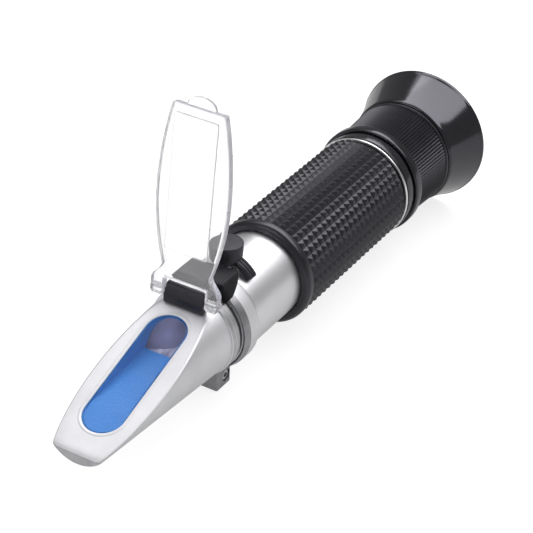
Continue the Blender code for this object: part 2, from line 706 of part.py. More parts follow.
def saddle_rear(angle):
    """Rear edge of the saddle, which sweeps forward beyond its shoulders to a pointed end."""
    fall = (abs(angle) - SADDLE_SHOULDER_ANGLE) / (SADDLE_HALF_ANGLE - SADDLE_SHOULDER_ANGLE)
    return SADDLE_REAR + SADDLE_SWEEP * max(fall, 0.0) ** SADDLE_SWEEP_POWER


def make_saddle_pad():
    """Rubber pad over the collar's top, with a lip in the groove before it and two pointed wings."""
    inner = SADDLE_INNER_RADIUS
    lip_front = COLLAR_FRONT + SEAT_GAP
    front = lip_front + SADDLE_FRONT_LIP
    steps = 4 * CURVE_STEPS
    rings = []
    for index in range(steps + 1):
        angle = SADDLE_HALF_ANGLE * (2 * index / steps - 1)
        outer = saddle_height(angle)
        rear = saddle_rear(angle)
        section = [
            (rear, inner),
            (rear, outer - SADDLE_BEVEL),
            (rear + SADDLE_BEVEL, outer),
            (front - SADDLE_BEVEL, outer),
            (front, outer - SADDLE_BEVEL),
            (front, OVER_BARREL),
            (lip_front, OVER_BARREL),
            (lip_front, inner),
        ]
        rings.append([(x, radius * math.sin(angle), radius * math.cos(angle)) for x, radius in section])
    lofted("saddle_pad", rings, black_rubber())


def make_barrel_and_rings():
    tube = ring_profile(BARREL_REAR, COLLAR_FRONT, BARREL_BORE, BARREL_RADIUS)
    barrel = turned("barrel", tube, satin_aluminium())
    bush_hole = rod_profile(0.0, BARREL_RADIUS + CUT_MARGIN, bush_radius() + SEAT_GAP)
    cut(barrel, turned("bush_hole", bush_hole, None, SMALL_SEGMENTS, (SCREW_STATION, 0.0, 0.0), TO_PLUS_Z))
    seal_outer = FLANGE_RADIUS - SEAT_GAP
    seal_inner = IN_BARREL + SEAT_GAP
    turned("seal_ring", ring_profile(SEAL_REAR, SEAL_FRONT, seal_inner, seal_outer), black_rubber())
    trim = ring_profile(BARREL_REAR, TRIM_FRONT, OVER_BARREL, TRIM_RING_RADIUS)
    turned("trim_ring", trim, polished_trim())


def make_grip_sleeve():
    """Rubber sleeve with rows of four-sided studs, V grooves between them, and a plain lip at the front."""
    builder = bmesh.new()
    row_turn = math.tau / GRIP_ROWS
    pattern_front = GRIP_FRONT - GRIP_PLAIN_LENGTH
    pitch = (pattern_front - GRIP_REAR) / GRIP_COLUMNS
    groove = GRIP_RADIUS - GRIP_STUD_HEIGHT

    def vert(station, radius, row):
        angle = GRIP_FIRST_GROOVE + row * row_turn
        return builder.verts.new((station, radius * math.sin(angle), radius * math.cos(angle)))

    def ring(station, radius):
        return [vert(station, radius, row) for row in range(GRIP_ROWS)]

    grooves = [ring(GRIP_REAR + column * pitch, groove) for column in range(GRIP_COLUMNS + 1)]
    for column, (rear_ring, front_ring) in enumerate(zip(grooves, grooves[1:])):
        for row in range(GRIP_ROWS):
            after = (row + 1) % GRIP_ROWS
            base = (rear_ring[row], front_ring[row], front_ring[after], rear_ring[after])
            crest = vert(GRIP_REAR + (column + 0.5) * pitch, GRIP_RADIUS, row + 0.5)
            for first, second in zip(base, base[1:] + base[:1]):
                builder.faces.new((first, second, crest))

    lip_and_bore = [
        grooves[-1],
        ring(pattern_front + GRIP_STUD_HEIGHT, GRIP_RADIUS),
        ring(GRIP_FRONT - GRIP_LIP_LENGTH, GRIP_RADIUS),
        ring(GRIP_FRONT, GRIP_RADIUS - GRIP_LIP_BEVEL),
        ring(GRIP_FRONT, OVER_BARREL + GRIP_LIP_BEVEL),
        ring(GRIP_FRONT - GRIP_LIP_LENGTH, OVER_BARREL),
        ring(GRIP_REAR, OVER_BARREL),
        grooves[0],
    ]
    for first, second in zip(lip_and_bore, lip_and_bore[1:]):
        for row in range(GRIP_ROWS):
            after = (row + 1) % GRIP_ROWS
            builder.faces.new((first[row], first[after], second[after], second[row]))
    add_object("grip_sleeve", builder, black_rubber())


def bush_radius():
    return SCREW_SHANK_RADIUS + RUNNING_GAP + BUSH_WALL


def make_calibration():
    """Screw, bush and rubber cap on one upright axis on the barrel, and the ribbed tab below the cap."""
    at = (SCREW_STATION, 0.0, 0.0)
    bush_low = BARREL_BORE - BUSH_DROP
    bush_high = BARREL_RADIUS + BUSH_RISE
    bush = ring_profile(bush_low, bush_high, SCREW_SHANK_RADIUS + RUNNING_GAP, bush_radius())
    turned("calibration_bush", bush, steel(), SMALL_SEGMENTS, at, TO_PLUS_Z)

    head_low = bush_high + RUNNING_GAP
    head_high = head_low + SCREW_HEAD_HEIGHT
    screw_shape = [
        (CELL_RADIUS + SEAT_GAP, 0.0),
        (CELL_RADIUS + SEAT_GAP, SCREW_SHANK_RADIUS),
        (head_low, SCREW_SHANK_RADIUS),
        (head_low, SCREW_HEAD_RADIUS),
        (head_high, SCREW_HEAD_RADIUS),
        (head_high, 0.0),
    ]
    screw = turned("calibration_screw", screw_shape, steel(), SMALL_SEGMENTS, at, TO_PLUS_Z)
    slot_reach = SCREW_HEAD_RADIUS + CUT_MARGIN
    slot_low = (SCREW_STATION - slot_reach, -SCREW_SLOT_WIDTH / 2, head_high - SCREW_SLOT_DEPTH)
    slot_high = (SCREW_STATION + slot_reach, SCREW_SLOT_WIDTH / 2, head_high + CUT_MARGIN)
    cut(screw, block("screw_slot", slot_low, slot_high))

    foot = bush_high - CAP_GRIP_ON_BUSH
    ceiling = head_high + RUNNING_GAP
    top = ceiling + CAP_ROOF
    cavity = bush_radius() + RUNNING_GAP
    cap = [
        (ceiling, 0.0),
        (ceiling, cavity),
        (foot, cavity),
        (foot, CAP_RADIUS - CAP_FOOT_INSET),
        (top - CAP_EDGE_BREAK, CAP_RADIUS),
        (top, CAP_RADIUS - CAP_EDGE_BREAK),
        (top, 0.0),
    ]
    turned("screw_cap", cap, black_rubber(), INNER_SEGMENTS, at, TO_PLUS_Z)
    make_cap_tab(foot)


def make_cap_tab(cap_foot):
    """The tongue that hangs below the cap's right side and lies along the barrel, ribbed across its end."""
    bends = [(Vector((0.0, y, cap_foot - drop)), half, thick) for y, drop, half, thick in TAB_BENDS]
    root, end = bends[-2], bends[-1]
    for index in range(1, 2 * TAB_RIB_COUNT):
        rib = TAB_RIB_HEIGHT * (index % 2)
        place = root[0].lerp(end[0], index / (2 * TAB_RIB_COUNT))
        bends.insert(-1, (place, end[1] + rib, end[2] + 2 * rib))

    across = Vector((1.0, 0.0, 0.0))
    rings = []
    for index, (place, half, thick) in enumerate(bends):
        start = min(index, len(bends) - 2)
        along = bends[start + 1][0] - bends[start][0]
        outward = along.cross(across).normalized() * (thick / 2)
        rings.append([place + across * half * side + outward * rise for side, rise in TAB_SECTION])
    lofted("cap_tab", rings, black_rubber(), (SCREW_STATION, 0.0, 0.0))


def lens_profile(rear, edge_length, radius, rear_bulge, front_bulge):
    """A lens as a turned outline: two domes on a cylindrical edge."""
    points = []
    for index in range(CURVE_STEPS // 2 + 1):
        share = 2 * index / CURVE_STEPS
        points.append((rear - rear_bulge * (1 - share**2), radius * share))
    if front_bulge == 0.0:
        return points + [(rear + edge_length, radius), (rear + edge_length, 0.0)]
    for index in range(CURVE_STEPS // 2 + 1):
        share = 1 - 2 * index / CURVE_STEPS
        points.append((rear + edge_length + front_bulge * (1 - share**2), radius * share))
    return points


def make_objective():
    """Objective lens in its cell under the calibration screw, with the strip and spring that steady it."""
    front = FLANGE_REAR - NOSE_SPIGOT_LENGTH - SEAT_GAP - CELL_SETBACK
    rear = front - CELL_LENGTH
    bore = CELL_RADIUS - CELL_WALL
    ledge = front - CELL_LEDGE_LENGTH
    cell = [
        (rear, bore),
        (rear, CELL_RADIUS),
        (front, CELL_RADIUS),
        (front, bore - CELL_LEDGE_HEIGHT),
        (ledge, bore - CELL_LEDGE_HEIGHT),
        (ledge, bore),
    ]
    turned("objective_cell", cell, dark_anodised(), INNER_SEGMENTS)
    seat = bore - SEAT_GAP
    lens_rear = ledge - SEAT_GAP - OBJECTIVE_EDGE_LENGTH
    lens = lens_profile(lens_rear, OBJECTIVE_EDGE_LENGTH, seat, OBJECTIVE_BULGE, OBJECTIVE_BULGE)
    turned("objective_lens", lens, clear_glass(), INNER_SEGMENTS)
    retainer_front = lens_rear - SEAT_GAP
    retainer = ring_profile(retainer_front - RETAINER_LENGTH, retainer_front, seat - RETAINER_HEIGHT, seat)
    turned("objective_retainer", retainer, dark_anodised(), INNER_SEGMENTS)

    strip_low = CELL_RADIUS + STRIP_GAP
    anchor_rear = rear - ANCHOR_SETBACK - ANCHOR_LENGTH
    anchor_front = anchor_rear + ANCHOR_LENGTH
    anchor_profile = ring_profile(anchor_rear, anchor_front, IN_BARREL - ANCHOR_WALL, IN_BARREL)
    anchor = turned("strip_anchor", anchor_profile, dark_anodised(), INNER_SEGMENTS)
    notch_half = STRIP_HALF_WIDTH + SEAT_GAP
    notch_low = (anchor_rear - CUT_MARGIN, -notch_half, strip_low - SEAT_GAP)
    cut(anchor, block("strip_notch", notch_low, (anchor_front + CUT_MARGIN, notch_half, BARREL_RADIUS)))
    strip_low_corner = (anchor_rear, -STRIP_HALF_WIDTH, strip_low)
    strip_high_corner = (rear + STRIP_OVERLAP, STRIP_HALF_WIDTH, strip_low + STRIP_THICKNESS)
    block("bimetal_strip", strip_low_corner, strip_high_corner, brass())

    middle = (rear + front) / 2
    rings = []
    for index in range(CURVE_STEPS + 1):
        share = 2 * index / CURVE_STEPS - 1
        x = middle + share * SPRING_LENGTH / 2
        top = -CELL_RADIUS - SPRING_GAP - SPRING_BOW * share**2
        low = top - SPRING_THICKNESS
        half = SPRING_HALF_WIDTH
        rings.append([(x, -half, low), (x, half, low), (x, half, top), (x, -half, top)])
    lofted("return_spring", rings, steel())


def make_reticle():
    rear = BASE_FRONT + BASE_SPIGOT_LENGTH + SEAT_GAP
    front = rear + RETICLE_CELL_LENGTH
    bore = IN_BARREL - RETICLE_CELL_WALL
    ledge = rear + RETICLE_LEDGE_LENGTH
    cell = [
        (rear, bore - RETICLE_LEDGE_HEIGHT),
        (rear, IN_BARREL),
        (front, IN_BARREL),
        (front, bore),
        (ledge, bore),
        (ledge, bore - RETICLE_LEDGE_HEIGHT),
    ]
    turned("reticle_cell", cell, dark_anodised(), INNER_SEGMENTS)
    seat = bore - SEAT_GAP
    disc_rear = ledge + SEAT_GAP
    disc_front = disc_rear + RETICLE_THICKNESS
    turned("reticle", rod_profile(disc_rear, disc_front, seat), clear_glass(), INNER_SEGMENTS)
    ring_rear = disc_front + SEAT_GAP
    ring = ring_profile(ring_rear, ring_rear + RETICLE_RETAINER_LENGTH, seat - RETAINER_HEIGHT, seat)
    turned("reticle_retainer", ring, dark_anodised(), INNER_SEGMENTS)


def make_eyepiece():
    """Base ring on the barrel, keyed lens sleeve inside it, focus ring turning on it, and the eyecup."""
    tube_radius = FOCUS_BORE - RUNNING_GAP
    tube_bore = tube_radius - BASE_TUBE_WALL
    sleeve_radius = tube_bore - RUNNING_GAP
    sleeve_bore = sleeve_radius - SLEEVE_WALL
    spigot_bore = IN_BARREL - BASE_SPIGOT_WALL

    web_front = FOCUS_REAR + FOCUS_WEB_LENGTH
    sleeve_rear = web_front + SEAT_GAP
    sleeve_flange_front = sleeve_rear + SLEEVE_FLANGE_LENGTH
    clip_rear = sleeve_flange_front + SEAT_GAP
    clip_front = clip_rear + CLIP_LENGTH
    tube_rear = clip_front + BASE_TUBE_END_GAP
    flange_front = BASE_REAR + BASE_FLANGE_LENGTH
    groove_front = flange_front + BASE_GROOVE_LENGTH
    shoulder = BASE_FRONT - BASE_SHOULDER_LENGTH
    base = [
        (tube_rear, tube_bore),
        (tube_rear, tube_radius),
        (BASE_REAR, tube_radius),
        (BASE_REAR, BASE_FLANGE_RADIUS - EDGE_BREAK),
        (BASE_REAR + EDGE_BREAK, BASE_FLANGE_RADIUS),
        (flange_front - EDGE_BREAK, BASE_FLANGE_RADIUS),
        (flange_front, BASE_FLANGE_RADIUS - EDGE_BREAK),
        (flange_front, BASE_BAND_RADIUS - BASE_GROOVE_DEPTH),
        (groove_front, BASE_BAND_RADIUS - BASE_GROOVE_DEPTH),
        (groove_front, BASE_BAND_RADIUS),
        (BASE_FRONT, BASE_BAND_RADIUS),
        (BASE_FRONT, IN_BARREL),
        (BASE_FRONT + BASE_SPIGOT_LENGTH, IN_BARREL),
        (BASE_FRONT + BASE_SPIGOT_LENGTH, spigot_bore),
        (shoulder, spigot_bore),
        (shoulder, tube_bore),
    ]
    base_ring = turned("base_ring", base, gloss_black())

    boss_bore = FOCUS_BOSS_RADIUS - FOCUS_BOSS_WALL
    boss_rear = FOCUS_REAR - FOCUS_BOSS_LENGTH
    focus = [
        (FOCUS_FRONT, FOCUS_BORE),
        (FOCUS_FRONT, FOCUS_RING_FRONT_RADIUS - EDGE_BREAK),
        (FOCUS_FRONT - EDGE_BREAK, FOCUS_RING_FRONT_RADIUS),
        (FOCUS_REAR + EDGE_BREAK, FOCUS_RING_REAR_RADIUS),
        (FOCUS_REAR, FOCUS_RING_REAR_RADIUS - EDGE_BREAK),
        (FOCUS_REAR, FOCUS_BOSS_RADIUS),
        (boss_rear, FOCUS_BOSS_RADIUS),
        (boss_rear, boss_bore),
        (web_front, boss_bore),
        (web_front, FOCUS_BORE),
    ]
    turned("focus_ring", focus, black_rubber())

    cup_floor = EYECUP_FRONT - EYECUP_FLOOR
    cup = [(EYECUP_FRONT, EYECUP_BORE), (EYECUP_FRONT, EYECUP_NECK_RADIUS)]
    wall = []
    for index in range(1, CURVE_STEPS):
        share = index / CURVE_STEPS
        station = EYECUP_FRONT * (1 - share)
        radius = EYECUP_NECK_RADIUS + (EYECUP_RIM_RADIUS - EYECUP_NECK_RADIUS) * share**EYECUP_FLARE_POWER
        cup.append((station, radius))
        if station < cup_floor:
            wall.append((station, radius - EYECUP_WALL))
    cup += [(EDGE_BREAK, EYECUP_RIM_RADIUS), (0.0, EYECUP_RIM_RADIUS - EDGE_BREAK)]
    cup += [(0.0, EYECUP_RIM_RADIUS - EYECUP_WALL)]
    cup += list(reversed(wall))
    cup += [(cup_floor, EYECUP_NECK_RADIUS - EYECUP_WALL), (cup_floor, EYECUP_BORE)]
    turned("eyecup", cup, gloss_black())

    sleeve_front = shoulder - SLEEVE_FRONT_GAP
    ledge = sleeve_front - SLEEVE_LEDGE_LENGTH
    sleeve = [
        (sleeve_rear, sleeve_bore),
        (sleeve_rear, tube_radius),
        (sleeve_flange_front, tube_radius),
        (sleeve_flange_front, sleeve_radius),
        (sleeve_front, sleeve_radius),
        (sleeve_front, sleeve_bore - SLEEVE_LEDGE_HEIGHT),
        (ledge, sleeve_bore - SLEEVE_LEDGE_HEIGHT),
        (ledge, sleeve_bore),
    ]
    focus_sleeve = turned("focus_sleeve", sleeve, dark_anodised(), INNER_SEGMENTS)
    clip = ring_profile(clip_rear, clip_front, tube_radius - CLIP_HEIGHT, tube_radius)
    turned("sleeve_clip", clip, steel(), INNER_SEGMENTS)

    key_station = BASE_REAR - KEY_STATION_OFFSET
    key_at = (key_station, 0.0, 0.0)
    key_hole = rod_profile(-tube_radius - CUT_MARGIN, -sleeve_bore, KEY_RADIUS + SEAT_GAP)
    cut(base_ring, turned("key_hole", key_hole, None, SMALL_SEGMENTS, key_at, TO_PLUS_Z))
    key = rod_profile(-tube_radius, -sleeve_bore - SEAT_GAP, KEY_RADIUS)
    turned("key_screw", key, steel(), SMALL_SEGMENTS, key_at, TO_PLUS_Z)
    slot_half = KEY_RADIUS + RUNNING_GAP
    slot_low = (key_station - KEY_SLOT_BACK, -slot_half, -sleeve_radius - CUT_MARGIN)
    slot_high = (key_station + KEY_SLOT_REACH, slot_half, -sleeve_bore + CUT_MARGIN)
    cut(focus_sleeve, block("key_slot", slot_low, slot_high))

    seat = sleeve_bore - SEAT_GAP
    ring_rear = sleeve_rear + SEAT_GAP
    eye_ring = ring_profile(ring_rear, ring_rear + EYE_RETAINER_LENGTH, seat - EYE_RETAINER_HEIGHT, seat)
    turned("eye_retainer", eye_ring, dark_anodised(), INNER_SEGMENTS)
    eye_rear = ring_rear + EYE_RETAINER_LENGTH + SEAT_GAP
    eye = lens_profile(eye_rear, EYE_LENS_EDGE_LENGTH, seat, EYE_LENS_BULGE, EYE_LENS_BULGE)
    turned("eye_lens", eye, clear_glass(), INNER_SEGMENTS)
    field_rear = ledge - SEAT_GAP - FIELD_LENS_EDGE_LENGTH
    field = lens_profile(field_rear, FIELD_LENS_EDGE_LENGTH, seat, FIELD_LENS_BULGE, 0.0)
    turned("field_lens", field, clear_glass(), INNER_SEGMENTS)
    spacer_rear = eye_rear + EYE_LENS_EDGE_LENGTH + SEAT_GAP
    spacer = ring_profile(spacer_rear, field_rear - SEAT_GAP, seat - SPACER_WALL, seat)
    turned("lens_spacer", spacer, dark_anodised(), INNER_SEGMENTS)


def main():
    clear_scene()
    axis = bpy.data.objects.new("barrel_axis", None)
    bpy.context.scene.collection.objects.link(axis)
    axis.location = (-TIP / 2, 0.0, AXIS_HEIGHT)
    make_prism_housing()
    make_prism_and_liner()
    make_exit_stop()
    make_hinge()
    make_daylight_plate()
    make_collar()
    make_saddle_pad()
    make_barrel_and_rings()
    make_grip_sleeve()
    make_calibration()
    make_objective()
    make_reticle()
    make_eyepiece()


main()
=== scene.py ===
"""Looks of the handheld refractometer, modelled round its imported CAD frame.

Every piece is built in the barrel's own frame, as the CAD is: X is the station along the barrel, counted from
the eyecup's rim towards the nose, and Y and Z are measured from the barrel's axis. Sizes are in metres.
"""

import json
import math

import bmesh
import bpy
from mathutils import Matrix, Vector


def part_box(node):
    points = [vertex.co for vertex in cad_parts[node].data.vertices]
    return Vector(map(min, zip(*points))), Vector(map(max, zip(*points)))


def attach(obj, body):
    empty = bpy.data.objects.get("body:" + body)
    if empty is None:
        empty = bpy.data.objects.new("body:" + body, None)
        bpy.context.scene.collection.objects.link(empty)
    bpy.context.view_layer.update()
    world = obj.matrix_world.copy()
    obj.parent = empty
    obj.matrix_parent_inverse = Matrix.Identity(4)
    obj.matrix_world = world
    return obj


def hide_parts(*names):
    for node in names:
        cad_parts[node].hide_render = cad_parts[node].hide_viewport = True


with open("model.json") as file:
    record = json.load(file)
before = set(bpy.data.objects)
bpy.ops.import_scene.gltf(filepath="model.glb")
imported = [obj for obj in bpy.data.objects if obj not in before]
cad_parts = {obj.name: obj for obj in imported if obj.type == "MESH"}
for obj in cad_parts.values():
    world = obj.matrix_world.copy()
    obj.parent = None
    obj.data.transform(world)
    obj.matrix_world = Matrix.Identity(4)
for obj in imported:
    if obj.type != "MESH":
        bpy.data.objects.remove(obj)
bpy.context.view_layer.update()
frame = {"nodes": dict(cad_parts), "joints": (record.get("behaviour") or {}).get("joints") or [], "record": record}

MM = 0.001

# Places read from the frame
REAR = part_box("eyecup")[0].x
AXIS_HEIGHT = sum(corner.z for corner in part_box("barrel")) / 2
BARREL_ORIGIN = Vector((REAR, 0.0, AXIS_HEIGHT))


def stations(node):
    """Where a node starts and ends along the barrel."""
    low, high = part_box(node)
    return low.x - REAR, high.x - REAR


def radius_of(node):
    low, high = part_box(node)
    return (high.y - low.y) / 2


def levels(node):
    """A node's lowest and highest height, measured from the barrel's axis."""
    low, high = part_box(node)
    return low.z - AXIS_HEIGHT, high.z - AXIS_HEIGHT


def middle(node):
    low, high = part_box(node)
    return (low + high) / 2 - BARREL_ORIGIN


BARREL_RADIUS = radius_of("barrel")
TIP = stations("prism_housing")[1]

# Gaps between fitted pieces, how far a cut passes the piece, and fineness of the meshes
FIT_GAP = 0.3 * MM
CUT_MARGIN = 1.0 * MM
TURN_SEGMENTS = 128
SMALL_TURN_SEGMENTS = 48
CURVE_STEPS = 24
CORNER_STEPS = 4
BEVEL_STEPS = 2
SAME_POINT = 1e-7

# Edges sharper than this many degrees stay sharp in the shading
SHARP_ANGLE = 35

# Roundings of edges that several pieces share
FINE_EDGE = 0.1 * MM
SMALL_EDGE = 0.2 * MM
SOFT_EDGE = 0.3 * MM
BROAD_EDGE = 0.4 * MM

TO_PLUS_Z = Matrix.Rotation(-math.pi / 2, 4, "Y")
TO_PLUS_Y = Matrix.Rotation(math.pi / 2, 4, "Z")


# Materials


class Finish:
    """A procedural material: a Principled shader with its textures on the piece's own coordinates.

    Colour, roughness and relief each follow a noise. One that is given no noise follows the noise before it.
    """

    def __init__(self, name, slot, **sockets):
        self.slot = slot
        self.material = bpy.data.materials.new(name)
        self.material.use_nodes = True
        self.nodes = self.material.node_tree.nodes
        self.links = self.material.node_tree.links
        self.shader = self.nodes["Principled BSDF"]
        for socket, value in sockets.items():
            self.shader.inputs[socket.replace("_", " ")].default_value = value
        self.place = self.nodes.new("ShaderNodeTexCoord").outputs["Object"]
        self.latest = None

    def noise(self, scale=None, stretch=(1.0, 1.0, 1.0), detail=3.0, coarseness=0.55):
        """Noise on the piece, drawn out along the axes with a small stretch."""
        if scale is None:
            return self.latest
        mapping = self.nodes.new("ShaderNodeMapping")
        mapping.inputs["Scale"].default_value = stretch
        self.links.new(self.place, mapping.inputs["Vector"])
        texture = self.nodes.new("ShaderNodeTexNoise")
        texture.inputs["Scale"].default_value = scale
        texture.inputs["Detail"].default_value = detail
        texture.inputs["Roughness"].default_value = coarseness
        self.links.new(mapping.outputs["Vector"], texture.inputs["Vector"])
        self.latest = texture.outputs["Fac"]
        return self.latest

    def ramp(self, socket, factor, low, high, start=0.3, end=0.7):
        """Lets a socket run from the colour low to the colour high as the factor goes from start to end."""
        ramp = self.nodes.new("ShaderNodeValToRGB")
        for stop, position, colour in zip(ramp.color_ramp.elements, (start, end), (low, high)):
            stop.position = position
            stop.color = (*colour, 1.0)
        self.links.new(factor, ramp.inputs["Fac"])
        self.links.new(ramp.outputs["Color"], self.shader.inputs[socket])

    def colour(self, low, high, start=0.3, **noise):
        self.ramp("Base Color", self.noise(**noise), low, high, start)

    def roughness(self, low, high, **noise):
        self.ramp("Roughness", self.noise(**noise), (low,) * 3, (high,) * 3)

    def relief(self, height, strength=0.5, **noise):
        """Bumps of that real height."""
        bump = self.nodes.new("ShaderNodeBump")
        bump.inputs["Strength"].default_value = strength
        bump.inputs["Distance"].default_value = height
        self.links.new(self.noise(**noise), bump.inputs["Height"])
        self.links.new(bump.outputs["Normal"], self.shader.inputs["Normal"])


# Pearl-blasted, pale anodised metal of the nose and the clamp ring
BLASTED = Finish("blasted_aluminium", "satin_aluminium", Metallic=0.8)
BLASTED.colour((0.80, 0.80, 0.83), (0.87, 0.87, 0.895), scale=160)
BLASTED.roughness(0.42, 0.52, scale=4200, detail=2.0)
BLASTED.relief(0.012 * MM)

# Satin metal of the barrel, with the faint rings of its turning
TURNED = Finish("turned_aluminium", "satin_aluminium", Metallic=0.85)
TURNED.colour((0.80, 0.80, 0.83), (0.86, 0.86, 0.885), scale=120)
TURNED.roughness(0.30, 0.40, scale=900, stretch=(6.0, 0.15, 0.15), detail=4.0)
TURNED.relief(0.006 * MM)


def cast_aluminium(name, dark, light):
    """Metal with a grey, coarse cast skin. On the clamp ring its darker grey is painted shade."""
    finish = Finish(name, "satin_aluminium", Metallic=1.0)
    finish.colour(dark, light, scale=500)
    finish.roughness(0.34, 0.48, scale=2600, detail=4.0)
    finish.relief(0.02 * MM)
    return finish


# The end of the nose and the side of its flange; and the front and the foot of the clamp ring in a darker grey,
# which is painted shade
CAST = cast_aluminium("cast_aluminium", (0.50, 0.50, 0.52), (0.60, 0.60, 0.62))
CLAMP_PAINTED_SHADE = cast_aluminium("clamp_painted_shade_aluminium", (0.33, 0.33, 0.35), (0.41, 0.41, 0.43))

# Trim ring
POLISHED = Finish("polished_metal", "polished_trim", Metallic=1.0)
POLISHED.colour((0.88, 0.88, 0.89), (0.94, 0.94, 0.95), scale=1500, stretch=(4.0, 0.2, 0.2))
POLISHED.roughness(0.10, 0.18)

# Screws, pin, bush, spring and clip
STEEL = Finish("turned_steel", "steel", Metallic=1.0)
STEEL.colour((0.52, 0.52, 0.54), (0.64, 0.64, 0.66), scale=3000)
STEEL.roughness(0.22, 0.34)

# Bimetal strip
BRASS = Finish("turned_brass", "brass", Metallic=1.0)
BRASS.colour((0.68, 0.49, 0.20), (0.80, 0.62, 0.30), scale=2500)
BRASS.roughness(0.22, 0.34)

# Inner rings and cells
ANODISED = Finish("dark_anodised", "dark_anodised", Metallic=0.6)
ANODISED.colour((0.016, 0.016, 0.018), (0.030, 0.030, 0.033), scale=2500)
ANODISED.roughness(0.38, 0.5)

# The blacks mirror the lamps with a slightly blue cast
COOL = (0.91, 0.89, 1.0, 1.0)

# Firm moulded rubber of the grip and the focus ring, with a slight sheen on its facets
GRIP_RUBBER = Finish("grip_rubber", "black_rubber", Specular_IOR_Level=0.8, Specular_Tint=COOL)
GRIP_RUBBER.colour((0.005, 0.005, 0.007), (0.010, 0.010, 0.013), scale=220)
GRIP_RUBBER.roughness(0.27, 0.36, scale=2600, detail=4.0)
GRIP_RUBBER.relief(0.03 * MM)

# Softer rubber of the screw cap and its tab, with a leathery skin
SOFT_RUBBER = Finish("soft_rubber", "black_rubber", Specular_IOR_Level=0.55, Specular_Tint=COOL)
SOFT_RUBBER.colour((0.018, 0.018, 0.022), (0.030, 0.030, 0.035), scale=300)
SOFT_RUBBER.roughness(0.34, 0.5, scale=1800, detail=5.0)
SOFT_RUBBER.relief(0.03 * MM, 0.6)

# Dull rubber of the saddle, darker than the cap's. The extra darkness is painted shade for the wing that slopes
# away from the light.
SADDLE_RUBBER_PAINTED_SHADE = Finish("saddle_rubber_painted_shade", "black_rubber", Specular_IOR_Level=0.3, Specular_Tint=COOL)
SADDLE_RUBBER_PAINTED_SHADE.colour((0.008, 0.008, 0.010), (0.014, 0.014, 0.017), scale=300)
SADDLE_RUBBER_PAINTED_SHADE.roughness(0.38, 0.5, scale=1800, detail=5.0)
SADDLE_RUBBER_PAINTED_SHADE.relief(0.03 * MM, 0.6)

# Dusty grey rubber of the seal between the clamp ring and the nose
SEAL_RUBBER = Finish("seal_rubber", "black_rubber")
SEAL_RUBBER.colour((0.085, 0.085, 0.092), (0.120, 0.120, 0.128), scale=1800, detail=4.0)
SEAL_RUBBER.roughness(0.4, 0.55)

# Smooth black moulding of the eyepiece, which mirrors the lamps softly
GLOSS = Finish("gloss_plastic", "gloss_black", Specular_IOR_Level=0.8, Specular_Tint=COOL)
GLOSS.colour((0.004, 0.004, 0.006), (0.007, 0.007, 0.009), scale=90)
GLOSS.roughness(0.12, 0.16)
GLOSS.relief(0.003 * MM, 0.4, scale=1500)

# The hinge bar: black moulding with a fine grained skin
BAR = Finish("bar_plastic", "gloss_black", Specular_Tint=COOL)
BAR.colour((0.008, 0.008, 0.010), (0.016, 0.016, 0.019), scale=2200, detail=4.0)
BAR.roughness(0.26, 0.4)
BAR.relief(0.02 * MM)

# The prism's liner
BLUE = Finish("blue_plastic", "blue_plastic")
BLUE.colour((0.014, 0.180, 0.570), (0.020, 0.206, 0.620), scale=140)
BLUE.roughness(0.42, 0.52)

# The prism's ground rear end: silvery with a violet cast and streaks running down it
STREAKS = {"scale": 600, "stretch": (0.3, 1.0, 0.3), "detail": 5.0, "coarseness": 0.6}
SILVER = Finish("ground_silver", "clear_glass", Metallic=0.75)
SILVER.colour((0.12, 0.125, 0.24), (0.50, 0.51, 0.63), start=0.4, **STREAKS)
SILVER.roughness(0.35, 0.5)
SILVER.relief(0.04 * MM)

# The darker upper part of that end, in the shade of the nose
VIOLET = Finish("violet_glass", "clear_glass", Metallic=0.6)
VIOLET.colour((0.05, 0.055, 0.14), (0.12, 0.125, 0.25), scale=350, detail=4.0)
VIOLET.roughness(0.35, 0.5)

# Lenses and reticle
GLASS = Finish("clear_glass", "clear_glass", Transmission_Weight=1.0, IOR=1.46)
GLASS.colour((0.97, 0.985, 0.99), (0.99, 0.995, 1.0), scale=200)
GLASS.roughness(0.0, 0.02)

# The window's glass, coated so that it hardly mirrors the lamps
WINDOW_GLASS = Finish("coated_glass", "clear_glass", Transmission_Weight=1.0, IOR=1.18)
WINDOW_GLASS.colour((0.98, 0.985, 0.99), (0.995, 0.995, 1.0), scale=200)
WINDOW_GLASS.roughness(0.0, 0.02)

# Clear moulded sheet of the daylight plate, with a slight haze and a few mould ripples
ACRYLIC = Finish("clear_acrylic", "clear_acrylic", Transmission_Weight=0.85, IOR=1.35)
ACRYLIC.colour((0.985, 0.985, 0.99), (1.0, 1.0, 1.0), scale=160)
ACRYLIC.roughness(0.0, 0.03)
ACRYLIC.relief(0.02 * MM, 0.4, scale=110, detail=1.0)

# The sheet's sawn edges: whitened, with a trace of violet
FROSTED = Finish("frosted_acrylic", "clear_acrylic", Transmission_Weight=0.7, IOR=1.35)
FROSTED.colour((0.86, 0.85, 0.93), (0.97, 0.96, 1.0), scale=700, detail=4.0)
FROSTED.roughness(0.25, 0.5)
FROSTED.relief(0.03 * MM)


# Mesh tools

# A corner takes at most this share of each of its sides, and one flatter than the angle isn't rounded
CORNER_SIDE_SHARE = 0.45
STRAIGHT_ANGLE = math.radians(172)


